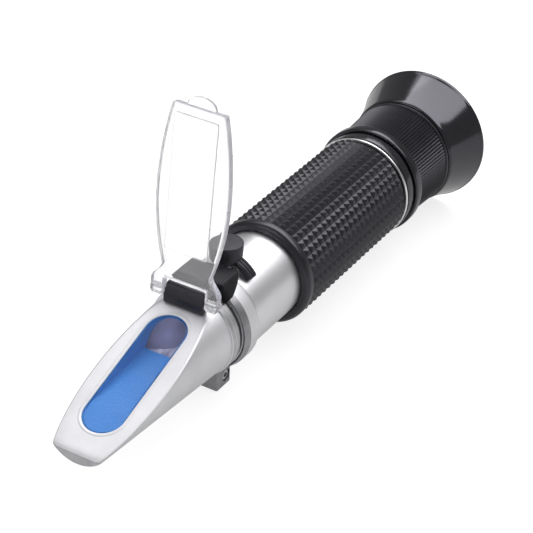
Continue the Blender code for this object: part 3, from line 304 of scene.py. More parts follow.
def publish(name, shape, finish, body, *nodes, sharp=SHARP_ANGLE, second=None, is_second=None):
    """Makes a piece of a bmesh, puts it on its body and lets it stand for CAD nodes.

    Faces for which is_second(face) holds take the second finish.
    """
    bmesh.ops.remove_doubles(shape, verts=shape.verts, dist=SAME_POINT)
    bmesh.ops.recalc_face_normals(shape, faces=shape.faces)
    mesh = bpy.data.meshes.new(name)
    shape.to_mesh(mesh)
    shape.free()
    mesh.polygons.foreach_set("use_smooth", [True] * len(mesh.polygons))
    mesh.set_sharp_from_angle(angle=math.radians(sharp))
    mesh.materials.append(finish.material)
    if second:
        mesh.materials.append(second.material)
        for polygon in mesh.polygons:
            polygon.material_index = int(is_second(polygon))
    piece = bpy.data.objects.new(name, mesh)
    piece.location = BARREL_ORIGIN
    bpy.context.scene.collection.objects.link(piece)
    bpy.context.view_layer.update()
    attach(piece, body)
    if nodes:
        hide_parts(*nodes)


def between(low, high, share):
    return low + (high - low) * share


def shares(count):
    """Even steps from 0 to 1."""
    return [index / count for index in range(count + 1)]


def polar(station, radius, angle):
    """A point round the barrel's axis, with the angle counted from the top towards +Y."""
    return Vector((station, radius * math.sin(angle), radius * math.cos(angle)))


def ring_profile(start, end, inner, outer):
    """The (station, radius) outline of a plain ring, or of a rod if the inner radius is 0."""
    return [(start, inner), (start, outer), (end, outer), (end, inner)]


def screw_profile(end, seat, top, shank, head, edge):
    """The outline of a screw from its end to the top of its head, whose edge is rounded."""
    return [(end, 0.0), (end, shank), (seat, shank), (seat, head), (top, head, edge), (top, 0.0)]


def rounded(points, radius, steps=CORNER_STEPS, turned=True):
    """A closed outline with its corners rounded; a third value in a point is its own radius.

    The points of a turned outline that lie on its axis stay as they are.
    """
    outline = []
    count = len(points)
    for index, (x, y, *own) in enumerate(points):
        here = Vector((x, y))
        before = Vector(points[index - 1][:2]) - here
        after = Vector(points[(index + 1) % count][:2]) - here
        wanted = own[0] if own else radius
        reach = min(wanted, CORNER_SIDE_SHARE * before.length, CORNER_SIDE_SHARE * after.length)
        on_axis = turned and y < SAME_POINT
        if on_axis or reach < SAME_POINT or before.angle(after) > STRAIGHT_ANGLE:
            outline.append((x, y))
            continue
        start = here + before.normalized() * reach
        end = here + after.normalized() * reach
        for t in shares(steps):
            outline.append(tuple((1 - t) ** 2 * start + 2 * t * (1 - t) * here + t * t * end))
    return outline


def bridge(shape, first, second, closed=True):
    """Faces between two rings of points; a ring of one point makes a fan."""
    count = max(len(first), len(second))
    for index in range(count if closed else count - 1):
        after = (index + 1) % count
        corners = [
            first[index % len(first)],
            second[index % len(second)],
            second[after % len(second)],
            first[after % len(first)],
        ]
        corners = list(dict.fromkeys(corners))
        if len(corners) > 2:
            shape.faces.new(corners)


def spin(profile, segments=TURN_SEGMENTS, about=None, ripple=None):
    """A turned body from (station, radius) points. A third value scales the ripple round the circle."""
    shape = bmesh.new()
    about = about or Matrix.Identity(4)
    rings = []
    for x, radius, *knurl in profile:
        if radius < SAME_POINT:
            rings.append([shape.verts.new(about @ Vector((x, 0.0, 0.0)))])
            continue
        ring = []
        for index in range(segments):
            angle = 2 * math.pi * index / segments
            reach = radius + (knurl[0] * ripple(index) if knurl else 0.0)
            ring.append(shape.verts.new(about @ polar(x, reach, angle)))
        rings.append(ring)
    for first, second in zip(rings, rings[1:] + rings[:1]):
        if len(first) > 1 or len(second) > 1:
            bridge(shape, first, second)
    return shape


def small_spin(profile, edge, about):
    """A small turned body with rounded edges, such as a screw."""
    return spin(rounded(profile, edge), SMALL_TURN_SEGMENTS, about)


def loft(rings, capped=True):
    """A body through rings of the same number of points."""
    shape = bmesh.new()
    rings = [[shape.verts.new(point) for point in ring] for ring in rings]
    for first, second in zip(rings, rings[1:]):
        bridge(shape, first, second)
    if capped:
        shape.faces.new(list(reversed(rings[0])))
        shape.faces.new(rings[-1])
    return shape


def block(low, high):
    """A box between two corners, as the raw stock for cutting and rounding."""
    shape = bmesh.new()
    bmesh.ops.create_cube(shape, size=1.0)
    low, high = Vector(low), Vector(high)
    for vert in shape.verts:
        vert.co = Vector(((low + high) / 2)[i] + vert.co[i] * (high - low)[i] for i in range(3))
    return shape


def soften(shape, width, segments=BEVEL_STEPS, angle=30):
    """Rounds the edges that are sharper than the angle."""
    bmesh.ops.recalc_face_normals(shape, faces=shape.faces)
    edges = [e for e in shape.edges if e.is_manifold and e.calc_face_angle() > math.radians(angle)]
    bmesh.ops.bevel(
        shape, geom=edges, offset=width, segments=segments, profile=0.5, affect="EDGES", clamp_overlap=True
    )
    return shape


def combine(shape, tool, operation):
    """The two bodies joined, or the tool cut out of the shape."""
    objects = []
    for part in (shape, tool):
        bmesh.ops.recalc_face_normals(part, faces=part.faces)
        mesh = bpy.data.meshes.new("stock")
        part.to_mesh(mesh)
        part.free()
        objects.append(bpy.data.objects.new("stock", mesh))
        bpy.context.scene.collection.objects.link(objects[-1])
    modifier = objects[0].modifiers.new("combine", "BOOLEAN")
    modifier.object = objects[1]
    modifier.operation = operation
    modifier.solver = "EXACT"
    bpy.context.view_layer.update()
    result = bmesh.new()
    result.from_object(objects[0], bpy.context.evaluated_depsgraph_get())
    for stock in objects:
        mesh = stock.data
        bpy.data.objects.remove(stock)
        bpy.data.meshes.remove(mesh)
    return result


def cut(shape, tool):
    return combine(shape, tool, "DIFFERENCE")


def join(shape, tool):
    return combine(shape, tool, "UNION")


def add(shape, other):
    """Puts a second closed body into the same mesh."""
    mesh = bpy.data.meshes.new("stock")
    other.to_mesh(mesh)
    other.free()
    shape.from_mesh(mesh)
    bpy.data.meshes.remove(mesh)


# Barrel, rings and grip

BARREL_WALL = 1.5 * MM
OVER_BARREL = BARREL_RADIUS + FIT_GAP
IN_BARREL = BARREL_RADIUS - BARREL_WALL - FIT_GAP
SCRIBE_BEHIND_SADDLE = 0.5 * MM
SCRIBE_WIDTH = 0.32 * MM
SCRIBE_DEPTH = 0.12 * MM
SCRIBE_EDGE = 0.04 * MM


def make_barrel():
    """The bare tube with the scribed line behind the clamp ring."""
    start, end = stations("barrel")
    bore = BARREL_RADIUS - BARREL_WALL
    line = stations("saddle_pad")[0] - SCRIBE_BEHIND_SADDLE
    profile = [
        (start, bore),
        (start, BARREL_RADIUS),
        (line - SCRIBE_WIDTH / 2, BARREL_RADIUS, SCRIBE_EDGE),
        (line, BARREL_RADIUS - SCRIBE_DEPTH, SCRIBE_EDGE),
        (line + SCRIBE_WIDTH / 2, BARREL_RADIUS, SCRIBE_EDGE),
        (end, BARREL_RADIUS),
        (end, bore),
    ]
    publish("barrel_tube", spin(rounded(profile, SMALL_EDGE)), TURNED, "instrument", "barrel", sharp=25)


GRIP_ROWS = 40
GRIP_COLUMNS = 21
GRIP_FIRST_GROOVE = math.radians(3)
GRIP_STUD_HEIGHT = 0.62 * MM
GRIP_STUD_TOP = 0.10
GRIP_LIP = 2.85 * MM
GRIP_LIP_STEP = 0.12 * MM
GRIP_LIP_SLOPE = 0.35 * MM
GRIP_LIP_BEVEL = 0.8 * MM
GRIP_LIP_ROUND = 0.5 * MM


def make_grip():
    """Moulded sleeve: rows of four-sided studs, and a plain rounded lip at the front."""
    start, end = stations("grip_sleeve")
    crest = radius_of("grip_sleeve")
    groove = crest - GRIP_STUD_HEIGHT
    pattern_end = end - GRIP_LIP
    pitch = (pattern_end - start) / GRIP_COLUMNS
    turn = 2 * math.pi / GRIP_ROWS
    shape = bmesh.new()

    def vert(column, row, radius):
        return shape.verts.new(polar(start + column * pitch, radius, GRIP_FIRST_GROOVE + row * turn))

    def ring(column, radius):
        return [vert(column, row, radius) for row in range(GRIP_ROWS)]

    grid = [ring(column, groove) for column in range(GRIP_COLUMNS + 1)]
    low, high = (1 - GRIP_STUD_TOP) / 2, (1 + GRIP_STUD_TOP) / 2
    for column in range(GRIP_COLUMNS):
        for row in range(GRIP_ROWS):
            after = (row + 1) % GRIP_ROWS
            base = [grid[column][row], grid[column + 1][row], grid[column + 1][after], grid[column][after]]
            corners = ((low, low), (high, low), (high, high), (low, high))
            top = [vert(column + along, row + around, crest) for along, around in corners]
            bridge(shape, top, base)
            shape.faces.new(top)
    inside = [ring(column, OVER_BARREL) for column in (0, GRIP_COLUMNS)]
    bridge(shape, inside[0], grid[0])
    bridge(shape, grid[-1], inside[1])
    bridge(shape, inside[1], inside[0])

    lip_crest = crest - GRIP_LIP_STEP
    lip = [
        (pattern_end, OVER_BARREL),
        (pattern_end, groove),
        (pattern_end + GRIP_LIP_SLOPE, lip_crest, SOFT_EDGE),
        (end - GRIP_LIP_BEVEL, lip_crest, GRIP_LIP_ROUND),
        (end, lip_crest - GRIP_LIP_BEVEL, BROAD_EDGE),
        (end, OVER_BARREL),
    ]
    add(shape, spin(rounded(lip, FINE_EDGE)))
    publish("grip", shape, GRIP_RUBBER, "instrument", "grip_sleeve", sharp=20)


TRIM_EDGE = 0.25 * MM


def make_trim_ring():
    profile = ring_profile(*stations("trim_ring"), OVER_BARREL, radius_of("trim_ring"))
    publish("bright_ring", spin(rounded(profile, TRIM_EDGE)), POLISHED, "instrument", "trim_ring")


BASE_FLANGE_LENGTH = 2.9 * MM
BASE_FLANGE_ROUND = 0.75 * MM
BASE_GROOVE_LENGTH = 0.4 * MM
BASE_GROOVE_DEPTH = 0.4 * MM
BASE_BAND_STEP = 0.05 * MM
BASE_BAND_ROUND = 0.35 * MM
BASE_EDGE = 0.12 * MM
BASE_WEB = 0.6 * MM
BASE_TUBE_RADIUS = 12.45 * MM
BASE_TUBE_BORE = 10.85 * MM
BASE_SPIGOT_BORE = 8.6 * MM


def make_base_ring():
    """Glossy stop ring between the focus ring and the grip, with its groove and narrow band."""
    tube_start, spigot_end = stations("base_ring")
    start = stations("focus_ring")[1] + FIT_GAP
    end = stations("trim_ring")[0] - FIT_GAP
    flange = radius_of("base_ring")
    band = radius_of("trim_ring") + BASE_BAND_STEP
    groove_start = start + BASE_FLANGE_LENGTH
    groove_end = groove_start + BASE_GROOVE_LENGTH
    profile = [
        (tube_start, BASE_TUBE_BORE),
        (tube_start, BASE_TUBE_RADIUS),
        (start, BASE_TUBE_RADIUS),
        (start, flange, BROAD_EDGE),
        (groove_start, flange, BASE_FLANGE_ROUND),
        (groove_start, band - BASE_GROOVE_DEPTH, FINE_EDGE),
        (groove_end, band - BASE_GROOVE_DEPTH, FINE_EDGE),
        (groove_end, band, SOFT_EDGE),
        (end, band, BASE_BAND_ROUND),
        (end, IN_BARREL),
        (spigot_end, IN_BARREL),
        (spigot_end, BASE_SPIGOT_BORE),
        (end - BASE_WEB, BASE_SPIGOT_BORE),
        (end - BASE_WEB, BASE_TUBE_BORE),
    ]
    publish("stop_ring", spin(rounded(profile, BASE_EDGE)), GLOSS, "instrument", "base_ring")


# Eyepiece

KNURL_TEETH = 104
KNURL_DEPTH = 0.52 * MM
KNURL_SHAPE = (0.0, 0.45, 1.0, 0.55)
KNURL_RUN_OUT = 0.35 * MM
FOCUS_REAR_LIP = 1.0 * MM
FOCUS_REAR_ROUND = 0.3 * MM
FOCUS_REAR_ROUND_MIDDLE = 0.1 * MM
FOCUS_LIP_BEVEL = 0.15 * MM
FOCUS_FRONT_LIP = 0.5 * MM
FOCUS_FRONT_BEVEL = 0.25 * MM
FOCUS_FRONT_RADIUS = 14.2 * MM
FOCUS_BORE = 12.75 * MM
FOCUS_BOSS_RADIUS = 13.05 * MM
FOCUS_BOSS_BORE = 10.75 * MM
FOCUS_WEB = 1.3 * MM


def make_focus_ring():
    """Focusing ring with straight knurling between two plain lips, and the boss that carries the eyecup."""
    boss_rear, front = stations("focus_ring")
    rear = stations("eyecup")[1] + FIT_GAP
    rear_radius = radius_of("focus_ring")

    def root(station):
        """The radius at the foot of the teeth."""
        return between(rear_radius, FOCUS_FRONT_RADIUS, (station - rear) / (front - rear)) - KNURL_DEPTH

    knurl_start = rear + FOCUS_REAR_LIP
    knurl_end = front - FOCUS_FRONT_LIP
    teeth_start = knurl_start + KNURL_RUN_OUT
    teeth_end = knurl_end - KNURL_RUN_OUT
    profile = [
        (rear, rear_radius - FOCUS_REAR_ROUND),
        (rear + FOCUS_REAR_ROUND_MIDDLE, rear_radius - FOCUS_REAR_ROUND_MIDDLE),
        (rear + FOCUS_REAR_ROUND, rear_radius),
        (knurl_start - KNURL_RUN_OUT, rear_radius),
        (knurl_start - FOCUS_LIP_BEVEL, rear_radius - FOCUS_LIP_BEVEL),
        (knurl_start, root(knurl_start)),
        (teeth_start, root(teeth_start), KNURL_DEPTH),
        (teeth_end, root(teeth_end), KNURL_DEPTH),
        (knurl_end, root(knurl_end)),
        (front - FOCUS_FRONT_BEVEL, root(front)),
        (front, root(front) - FOCUS_FRONT_BEVEL),
        (front, FOCUS_BORE),
        (rear + FOCUS_WEB, FOCUS_BORE),
        (rear + FOCUS_WEB, FOCUS_BOSS_BORE),
        (boss_rear, FOCUS_BOSS_BORE),
        (boss_rear, FOCUS_BOSS_RADIUS),
        (rear, FOCUS_BOSS_RADIUS),
    ]
    segments = KNURL_TEETH * len(KNURL_SHAPE)
    shape = spin(profile, segments, ripple=lambda index: KNURL_SHAPE[index % len(KNURL_SHAPE)])
    publish("focus_knurl", shape, GRIP_RUBBER, "focus", "focus_ring", sharp=24)


EYECUP_NECK_RADIUS = 15.4 * MM
EYECUP_BORE = 13.35 * MM
EYECUP_WALL = 0.9 * MM
EYECUP_FLOOR = 3.0 * MM
EYECUP_FLARE_POWER = 1.25
EYECUP_RIM_BEAD = 0.4 * MM

# The rounded front edge, and the rounded corner between the hollow and its floor
EYECUP_EDGE = 0.45 * MM
EYECUP_EDGE_MIDDLE = (0.12 * MM, 0.15 * MM)
EYECUP_CORNER = (0.8 * MM, 0.5 * MM)
EYECUP_CORNER_MIDDLE = (0.25 * MM, 0.1 * MM)


def make_eyecup():
    """Flared eyecup with a rolled rim and a hollow that follows its outside."""
    rim_station, front = stations("eyecup")
    rim = radius_of("eyecup")

    def flare(station):
        share = max((front - station) / (front - rim_station), 0.0)
        return between(EYECUP_NECK_RADIUS, rim, share**EYECUP_FLARE_POWER)

    bead_station = rim_station + EYECUP_RIM_BEAD
    outside = [
        (front, EYECUP_BORE),
        (front, EYECUP_NECK_RADIUS - EYECUP_EDGE),
        (front - EYECUP_EDGE_MIDDLE[0], EYECUP_NECK_RADIUS - EYECUP_EDGE_MIDDLE[1]),
        (front - EYECUP_EDGE, EYECUP_NECK_RADIUS),
    ]
    for share in shares(CURVE_STEPS)[2:-1]:
        station = between(front, bead_station, share)
        outside.append((station, flare(station)))
    bead = []
    for share in shares(2 * CORNER_STEPS):
        angle = math.pi * share
        station = bead_station - EYECUP_RIM_BEAD * math.sin(angle)
        bead.append((station, rim - EYECUP_RIM_BEAD * (1 - math.cos(angle))))
    floor = front - EYECUP_FLOOR
    inside = []
    for share in shares(CURVE_STEPS)[1:-1]:
        station = between(bead_station, floor - EYECUP_CORNER[0], share)
        inside.append((station, flare(station) - EYECUP_WALL))
    corner = EYECUP_NECK_RADIUS - EYECUP_WALL
    inside += [
        (floor - EYECUP_CORNER_MIDDLE[0], corner - EYECUP_CORNER_MIDDLE[1]),
        (floor, corner - EYECUP_CORNER[1]),
        (floor, EYECUP_BORE),
    ]
    publish("eyecup_shell", spin(outside + bead + inside), GLOSS, "focus", "eyecup", sharp=50)


SLEEVE_RADIUS = 10.55 * MM
SLEEVE_BORE = 9.35 * MM
SLEEVE_FLANGE = 1.4 * MM
SLEEVE_LEDGE_LENGTH = 1.3 * MM
SLEEVE_LEDGE_HEIGHT = 1.2 * MM
SLEEVE_EDGE = 0.15 * MM


def make_lens_sleeve():
    start, end = stations("focus_sleeve")
    flange = radius_of("focus_sleeve")
    ledge = end - SLEEVE_LEDGE_LENGTH
    ledge_bore = SLEEVE_BORE - SLEEVE_LEDGE_HEIGHT
    profile = [
        (start, SLEEVE_BORE, BROAD_EDGE),
        (start, flange),
        (start + SLEEVE_FLANGE, flange),
        (start + SLEEVE_FLANGE, SLEEVE_RADIUS),
        (end, SLEEVE_RADIUS),
        (end, ledge_bore),
        (ledge, ledge_bore),
        (ledge, SLEEVE_BORE),
    ]
    publish("lens_sleeve", spin(rounded(profile, SLEEVE_EDGE)), ANODISED, "eyepiece", "focus_sleeve")


SPANNER_SLOT_WIDTH = 1.2 * MM
SPANNER_SLOT_DEPTH = 0.6 * MM
EYE_RETAINER_HEIGHT = 1.0 * MM


def make_eye_retainer():
    """The ring that holds the eye lens, with its slot for a spanner."""
    start, end = stations("eye_retainer")
    outer = radius_of("eye_retainer")
    ring = spin(rounded(ring_profile(start, end, outer - EYE_RETAINER_HEIGHT, outer), SMALL_EDGE))
    half = SPANNER_SLOT_WIDTH / 2
    reach = outer + CUT_MARGIN
    slot = block((start - CUT_MARGIN, -half, -reach), (start + SPANNER_SLOT_DEPTH, half, reach))
    publish("slotted_retainer", cut(ring, slot), ANODISED, "eyepiece", "eye_retainer")


EYE_LENS_EDGE = 2.0 * MM


def make_eye_lens():
    low, high = stations("eye_lens")
    radius = radius_of("eye_lens")
    bulge = (high - low - EYE_LENS_EDGE) / 2
    steps = shares(CURVE_STEPS)
    rear = [(low + bulge * share**2, radius * share) for share in steps]
    front = [(high - bulge * share**2, radius * share) for share in reversed(steps)]
    publish("eye_lens_glass", spin(rear + front), GLASS, "eyepiece", "eye_lens")


# Clamp ring, foot and seal

CLAMP_RING_LENGTH = 5.5 * MM
CLAMP_CONE_LENGTH = 2.0 * MM
CLAMP_CONE_DROP = 0.5 * MM
CLAMP_FRONT_SHARE = 0.15
FOOT_HALF_WIDTH = 4.4 * MM
FOOT_FRONT_SETBACK = 0.9 * MM
FOOT_TOP_IN_WALL = 0.2 * MM
FOOT_ROUND = 0.45 * MM
FOOT_ROUND_STEPS = 3
SLIT_WIDTH = 0.6 * MM
SLIT_OFFSET = 1.5 * MM

CLAMP_SCREW_END, CLAMP_HEAD_END = (corner.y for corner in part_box("collar_screw"))
CLAMP_SCREW_CENTRE = middle("collar_screw")
CLAMP_SCREW_PLACE = Matrix.Translation((CLAMP_SCREW_CENTRE.x, 0.0, CLAMP_SCREW_CENTRE.z)) @ TO_PLUS_Y
CLAMP_HEAD_RADIUS = 1.45 * MM
CLAMP_HEAD_HEIGHT = 1.2 * MM
CLAMP_HEAD_SEAT = CLAMP_HEAD_END - CLAMP_HEAD_HEIGHT
CLAMP_HEAD_ROUND = 0.25 * MM
CLAMP_SHANK_RADIUS = 1.0 * MM
CLAMP_HOLE_FLOOR_GAP = 0.4 * MM
CLAMP_HOLE_GAP = 0.2 * MM
CLAMP_SOCKET_RADIUS = 0.75 * MM
CLAMP_SOCKET_DEPTH = 0.8 * MM
CLAMP_SOCKET_SIDES = 6


def make_collar():
    """Split clamp ring with the foot under it, and the hole for the screw that closes it."""
    foot_start, front = stations("collar")
    bottom, top = levels("collar")
    rear = front - CLAMP_RING_LENGTH
    profile = [
        (rear, OVER_BARREL),
        (rear, top),
        (front - CLAMP_CONE_LENGTH, top, FINE_EDGE),
        (front, top - CLAMP_CONE_DROP),
        (front, OVER_BARREL),
    ]
    ring = spin(rounded(profile, SMALL_EDGE))
    foot_end = (front - FOOT_FRONT_SETBACK, FOOT_HALF_WIDTH, -OVER_BARREL - FOOT_TOP_IN_WALL)
    foot = block((foot_start, -FOOT_HALF_WIDTH, bottom), foot_end)
    shape = join(ring, soften(foot, FOOT_ROUND, FOOT_ROUND_STEPS))
    slit_start = (foot_start - CUT_MARGIN, -SLIT_OFFSET - SLIT_WIDTH / 2, bottom - CUT_MARGIN)
    slit_end = (front + CUT_MARGIN, -SLIT_OFFSET + SLIT_WIDTH / 2, 0.0)
    shape = cut(shape, block(slit_start, slit_end))
    hole_floor = CLAMP_HEAD_SEAT - CLAMP_HOLE_FLOOR_GAP
    hole_radius = CLAMP_HEAD_RADIUS + CLAMP_HOLE_GAP
    hole = ring_profile(hole_floor, FOOT_HALF_WIDTH + CUT_MARGIN, 0.0, hole_radius)
    shape = cut(shape, spin(hole, SMALL_TURN_SEGMENTS, CLAMP_SCREW_PLACE))

    # Faces turned to the front, and the foot under the ring, take the darker grey: painted shade
    def is_darker_face(face):
        return face.normal.x > CLAMP_FRONT_SHARE or face.center.z < -top

    publish("clamp_ring", shape, BLASTED, "instrument", "collar", second=CLAMP_PAINTED_SHADE, is_second=is_darker_face)


def make_clamp_screw():
    radii = (CLAMP_SHANK_RADIUS, CLAMP_HEAD_RADIUS)
    profile = screw_profile(CLAMP_SCREW_END, CLAMP_HEAD_SEAT, CLAMP_HEAD_END, *radii, CLAMP_HEAD_ROUND)
    screw = small_spin(profile, FINE_EDGE, CLAMP_SCREW_PLACE)
    socket_floor = CLAMP_HEAD_END - CLAMP_SOCKET_DEPTH
    socket = ring_profile(socket_floor, CLAMP_HEAD_END + CUT_MARGIN, 0.0, CLAMP_SOCKET_RADIUS)
    screw = cut(screw, spin(socket, CLAMP_SOCKET_SIDES, CLAMP_SCREW_PLACE))
    publish("clamp_screw", screw, STEEL, "instrument", "collar_screw")


SEAL_HEIGHT = 1.4 * MM
SEAL_EDGE = 0.18 * MM


def make_seal_ring():
    outer = radius_of("seal_ring")
    profile = ring_profile(*stations("seal_ring"), outer - SEAL_HEIGHT, outer)
    publish("seal", spin(rounded(profile, SEAL_EDGE)), SEAL_RUBBER, "instrument", "seal_ring")


# Prism nose: the sloping face and the window in it

WINDOW = next(m for m in frame["record"]["mounts"] if m["name"] == "prism_window")
FACE_NORMAL = Vector(WINDOW["axis"])
FACE_ANGLE = math.atan2(FACE_NORMAL.x, FACE_NORMAL.z)
GLASS_RECESS = 0.1 * MM
FACE_CENTRE = Vector(WINDOW["pos_m"]) - BARREL_ORIGIN + FACE_NORMAL * GLASS_RECESS
FACE_TIP_LEVEL = FACE_CENTRE.z - (TIP - FACE_CENTRE.x) * math.tan(FACE_ANGLE)

WINDOW_START = 6.5 * MM
WINDOW_END = 43.0 * MM
WINDOW_HALF_WIDTH = 5.4 * MM


def face_level(station):
    return FACE_TIP_LEVEL + (TIP - station) * math.tan(FACE_ANGLE)


def face_point(from_tip, height, across):
    """A point by its distance up the sloping face, its height square to the face, and Y."""
    x = TIP - from_tip * math.cos(FACE_ANGLE) + height * math.sin(FACE_ANGLE)
    z = FACE_TIP_LEVEL + from_tip * math.sin(FACE_ANGLE) + height * math.cos(FACE_ANGLE)
    return Vector((x, across, z))


def stadium(inset):
    """The window's round-ended outline as (from_tip, across) points, drawn in by an inset."""
    radius = WINDOW_HALF_WIDTH - inset
    low, high = WINDOW_START + WINDOW_HALF_WIDTH, WINDOW_END - WINDOW_HALF_WIDTH
    points = []
    for centre, other, start in ((low, high, math.pi / 2), (high, low, -math.pi / 2)):
        for share in shares(CURVE_STEPS):
            angle = start + math.pi * share
            points.append((centre + radius * math.cos(angle), radius * math.sin(angle)))
        side = points[-1][1]
        points += [(between(centre, other, share), side) for share in shares(CURVE_STEPS)[1:-1]]
    return points


def on_face(outline, height):
    """An outline laid at one height over the face."""
    return [face_point(s, height, y) for s, y in outline]


def at_level(outline, level):
    """An outline carried square to the face down to one level."""
    points = []
    for s, y in outline:
        drop = level - FACE_TIP_LEVEL - s * math.sin(FACE_ANGLE)
        points.append(face_point(s, drop / math.cos(FACE_ANGLE), y))
    return points


NOSE_START = stations("prism_housing")[0]
FLANGE_RADIUS = radius_of("prism_housing")
FLANGE_LENGTH = 3.2 * MM
FLANGE_START = stations("seal_ring")[1] + FIT_GAP
FLANGE_END = FLANGE_START + FLANGE_LENGTH
FLANGE_LINE_DEPTH = 0.10 * MM
FLANGE_LINE_HALF_WIDTH = 0.12 * MM
FLANGE_CHAMFER = 0.2 * MM
FLANGE_SIDE_SHARE = 0.2
NOSE_STEP = 0.44 * MM
NOSE_TAPER = 2.36 * MM
NOSE_SECTIONS = 40
NOSE_ARC_STEPS = 64
NOSE_CORNER_STEPS = 6
NOSE_FLAT_STEPS = 4
NOSE_LEAST_CUT = 0.02 * MM
NOSE_ROUND_OPENING = math.radians(20)
NOSE_BORE_RADIUS = 6.8 * MM
NOSE_BORE_REACH = 0.3 * MM
TIP_ROUND = 0.55 * MM
TIP_END_SHARE = 0.9
TIP_END_DEPTH = 1.0 * MM
FACE_EDGE_TIP = 0.35 * MM
FACE_EDGE_REAR = 1.6 * MM
POCKET_LEVEL = -6.0 * MM
POCKET_CUT_HEIGHT = 3.0 * MM


def nose_section(station, radius, flat, corner):
    """One D-shaped ring of the nose: round below, flat along the face, with softened corners.

    Where the face doesn't reach the radius the ring is a whole circle of as many points.
    """
    is_cut = flat < radius - NOSE_LEAST_CUT
    if is_cut:
        centre_z = flat - corner
        centre_y = math.sqrt((radius - corner) ** 2 - centre_z**2)
        opening = math.atan2(centre_y, centre_z)
        first_step = 0.0
    else:
        centre_y, centre_z, corner = 0.0, 0.0, radius
        opening = NOSE_ROUND_OPENING
        first_step = 0.5
    step = opening / NOSE_CORNER_STEPS
    corner_angles = [step * (index + first_step) for index in range(NOSE_CORNER_STEPS)]
    spread = [2 * share - 1 for share in shares(NOSE_FLAT_STEPS)[1:-1]]
    right, left = Vector((0.0, centre_y, centre_z)), Vector((0.0, -centre_y, centre_z))
    ring = [right + polar(station, corner, angle) for angle in corner_angles]
    for share in shares(NOSE_ARC_STEPS):
        ring.append(polar(station, radius, between(opening, 2 * math.pi - opening, share)))
    ring += [left + polar(station, corner, -angle) for angle in reversed(corner_angles)]
    if is_cut:
        return ring + [Vector((station, centre_y * share, flat)) for share in spread]
    return ring + [polar(station, radius, step * first_step * share) for share in spread]


def nose_rings():
    """The nose's sections, from the spigot over the flange and down the taper to the rounded tip."""
    line = (FLANGE_START + FLANGE_END) / 2
    nose_radius = FLANGE_RADIUS - NOSE_STEP
    turned_part = [
        (NOSE_START, IN_BARREL),
        (FLANGE_START, IN_BARREL),
        (FLANGE_START, FLANGE_RADIUS - FLANGE_CHAMFER),
        (FLANGE_START + FLANGE_CHAMFER, FLANGE_RADIUS),
        (line - FLANGE_LINE_HALF_WIDTH, FLANGE_RADIUS),
        (line, FLANGE_RADIUS - FLANGE_LINE_DEPTH),
        (line + FLANGE_LINE_HALF_WIDTH, FLANGE_RADIUS),
        (FLANGE_END - FLANGE_CHAMFER, FLANGE_RADIUS),
        (FLANGE_END, FLANGE_RADIUS - FLANGE_CHAMFER),
        (FLANGE_END, nose_radius),
    ]
    rings = []

    def add_section(station, radius, flat):
        share = max((TIP - station) / (TIP - FLANGE_START), 0.0)
        corner = between(FACE_EDGE_TIP, FACE_EDGE_REAR, share**2)
        rings.append(nose_section(station, radius, flat, corner))

    def add_taper(station, inset=0.0):
        radius = nose_radius - NOSE_TAPER * (station - FLANGE_END) / (TIP - FLANGE_END)
        add_section(station, radius - inset, face_level(station) - inset)

    for station, radius in turned_part:
        add_section(station, radius, face_level(station) if radius > IN_BARREL else radius)
    last = TIP - TIP_ROUND
    for share in shares(NOSE_SECTIONS)[1:]:
        add_taper(between(FLANGE_END, last, share))
    for share in shares(CORNER_STEPS)[1:]:
        angle = math.pi / 2 * share
        add_taper(last + TIP_ROUND * math.sin(angle), TIP_ROUND * (1 - math.cos(angle)))
    return rings


def make_prism_housing():
    """Tapered nose cut by the sloping face, with its flange, pocket and the bore towards the objective."""
    outline = stadium(0.0)
    pocket = loft([at_level(outline, POCKET_LEVEL), on_face(outline, POCKET_CUT_HEIGHT)])
    bore_end = face_point(WINDOW_END, 0.0, 0.0).x + NOSE_BORE_REACH
    bore = ring_profile(NOSE_START - CUT_MARGIN, bore_end, 0.0, NOSE_BORE_RADIUS)
    shape = cut(cut(loft(nose_rings()), pocket), spin(bore, SMALL_TURN_SEGMENTS))

    def is_darker_face(face):
        at_end = face.normal.x > TIP_END_SHARE and face.center.x > TIP - TIP_END_DEPTH
        on_flange = face.center.x < FLANGE_END - FLANGE_CHAMFER and abs(face.normal.x) < FLANGE_SIDE_SHARE
        return at_end or on_flange

    finishes = {"second": CAST, "is_second": is_darker_face}
    publish("nose_housing", shape, BLASTED, "instrument", "prism_housing", sharp=32, **finishes)


RIM_WIDTH = 1.05 * MM
RIM_HEIGHT = 0.06 * MM
RIM_SEAT = 0.01 * MM
RIM_FOOT = 0.15 * MM
RIM_STEPS = 8


def make_window_rim():
    """Low rounded rim round the window, with its foot in the face."""
    loops = []
    for (s0, y0), (s1, y1) in zip(stadium(0.0), stadium(-RIM_WIDTH)):
        loop = [face_point(s0, -RIM_FOOT, y0)]
        for share in shares(RIM_STEPS):
            swell = math.sin(math.pi * share)
            rise = RIM_HEIGHT * swell**2 - RIM_SEAT * (1 - swell)
            loop.append(face_point(between(s0, s1, share), rise, between(y0, y1, share)))
        loop.append(face_point(s1, -RIM_FOOT, y1))
        loops.append(loop)
    publish("window_rim", loft(loops + loops[:1], capped=False), BLASTED, "instrument", sharp=60)


LINER_INSET = 0.06 * MM
LINER_WALL = 0.30 * MM
LINER_BOTTOM = -5.8 * MM
FLOOR_LEAST_DEPTH = 0.45 * MM
FLOOR_BEND = 13.8 * MM
FLOOR_SLOPE = 0.225
FLOOR_END = 34.9 * MM


def floor_depth(from_tip):
    """Depth of the liner's floor below the face: shallow at the tip, then falling away towards the rear."""
    return FLOOR_LEAST_DEPTH + FLOOR_SLOPE * max(0.0, from_tip - FLOOR_BEND)


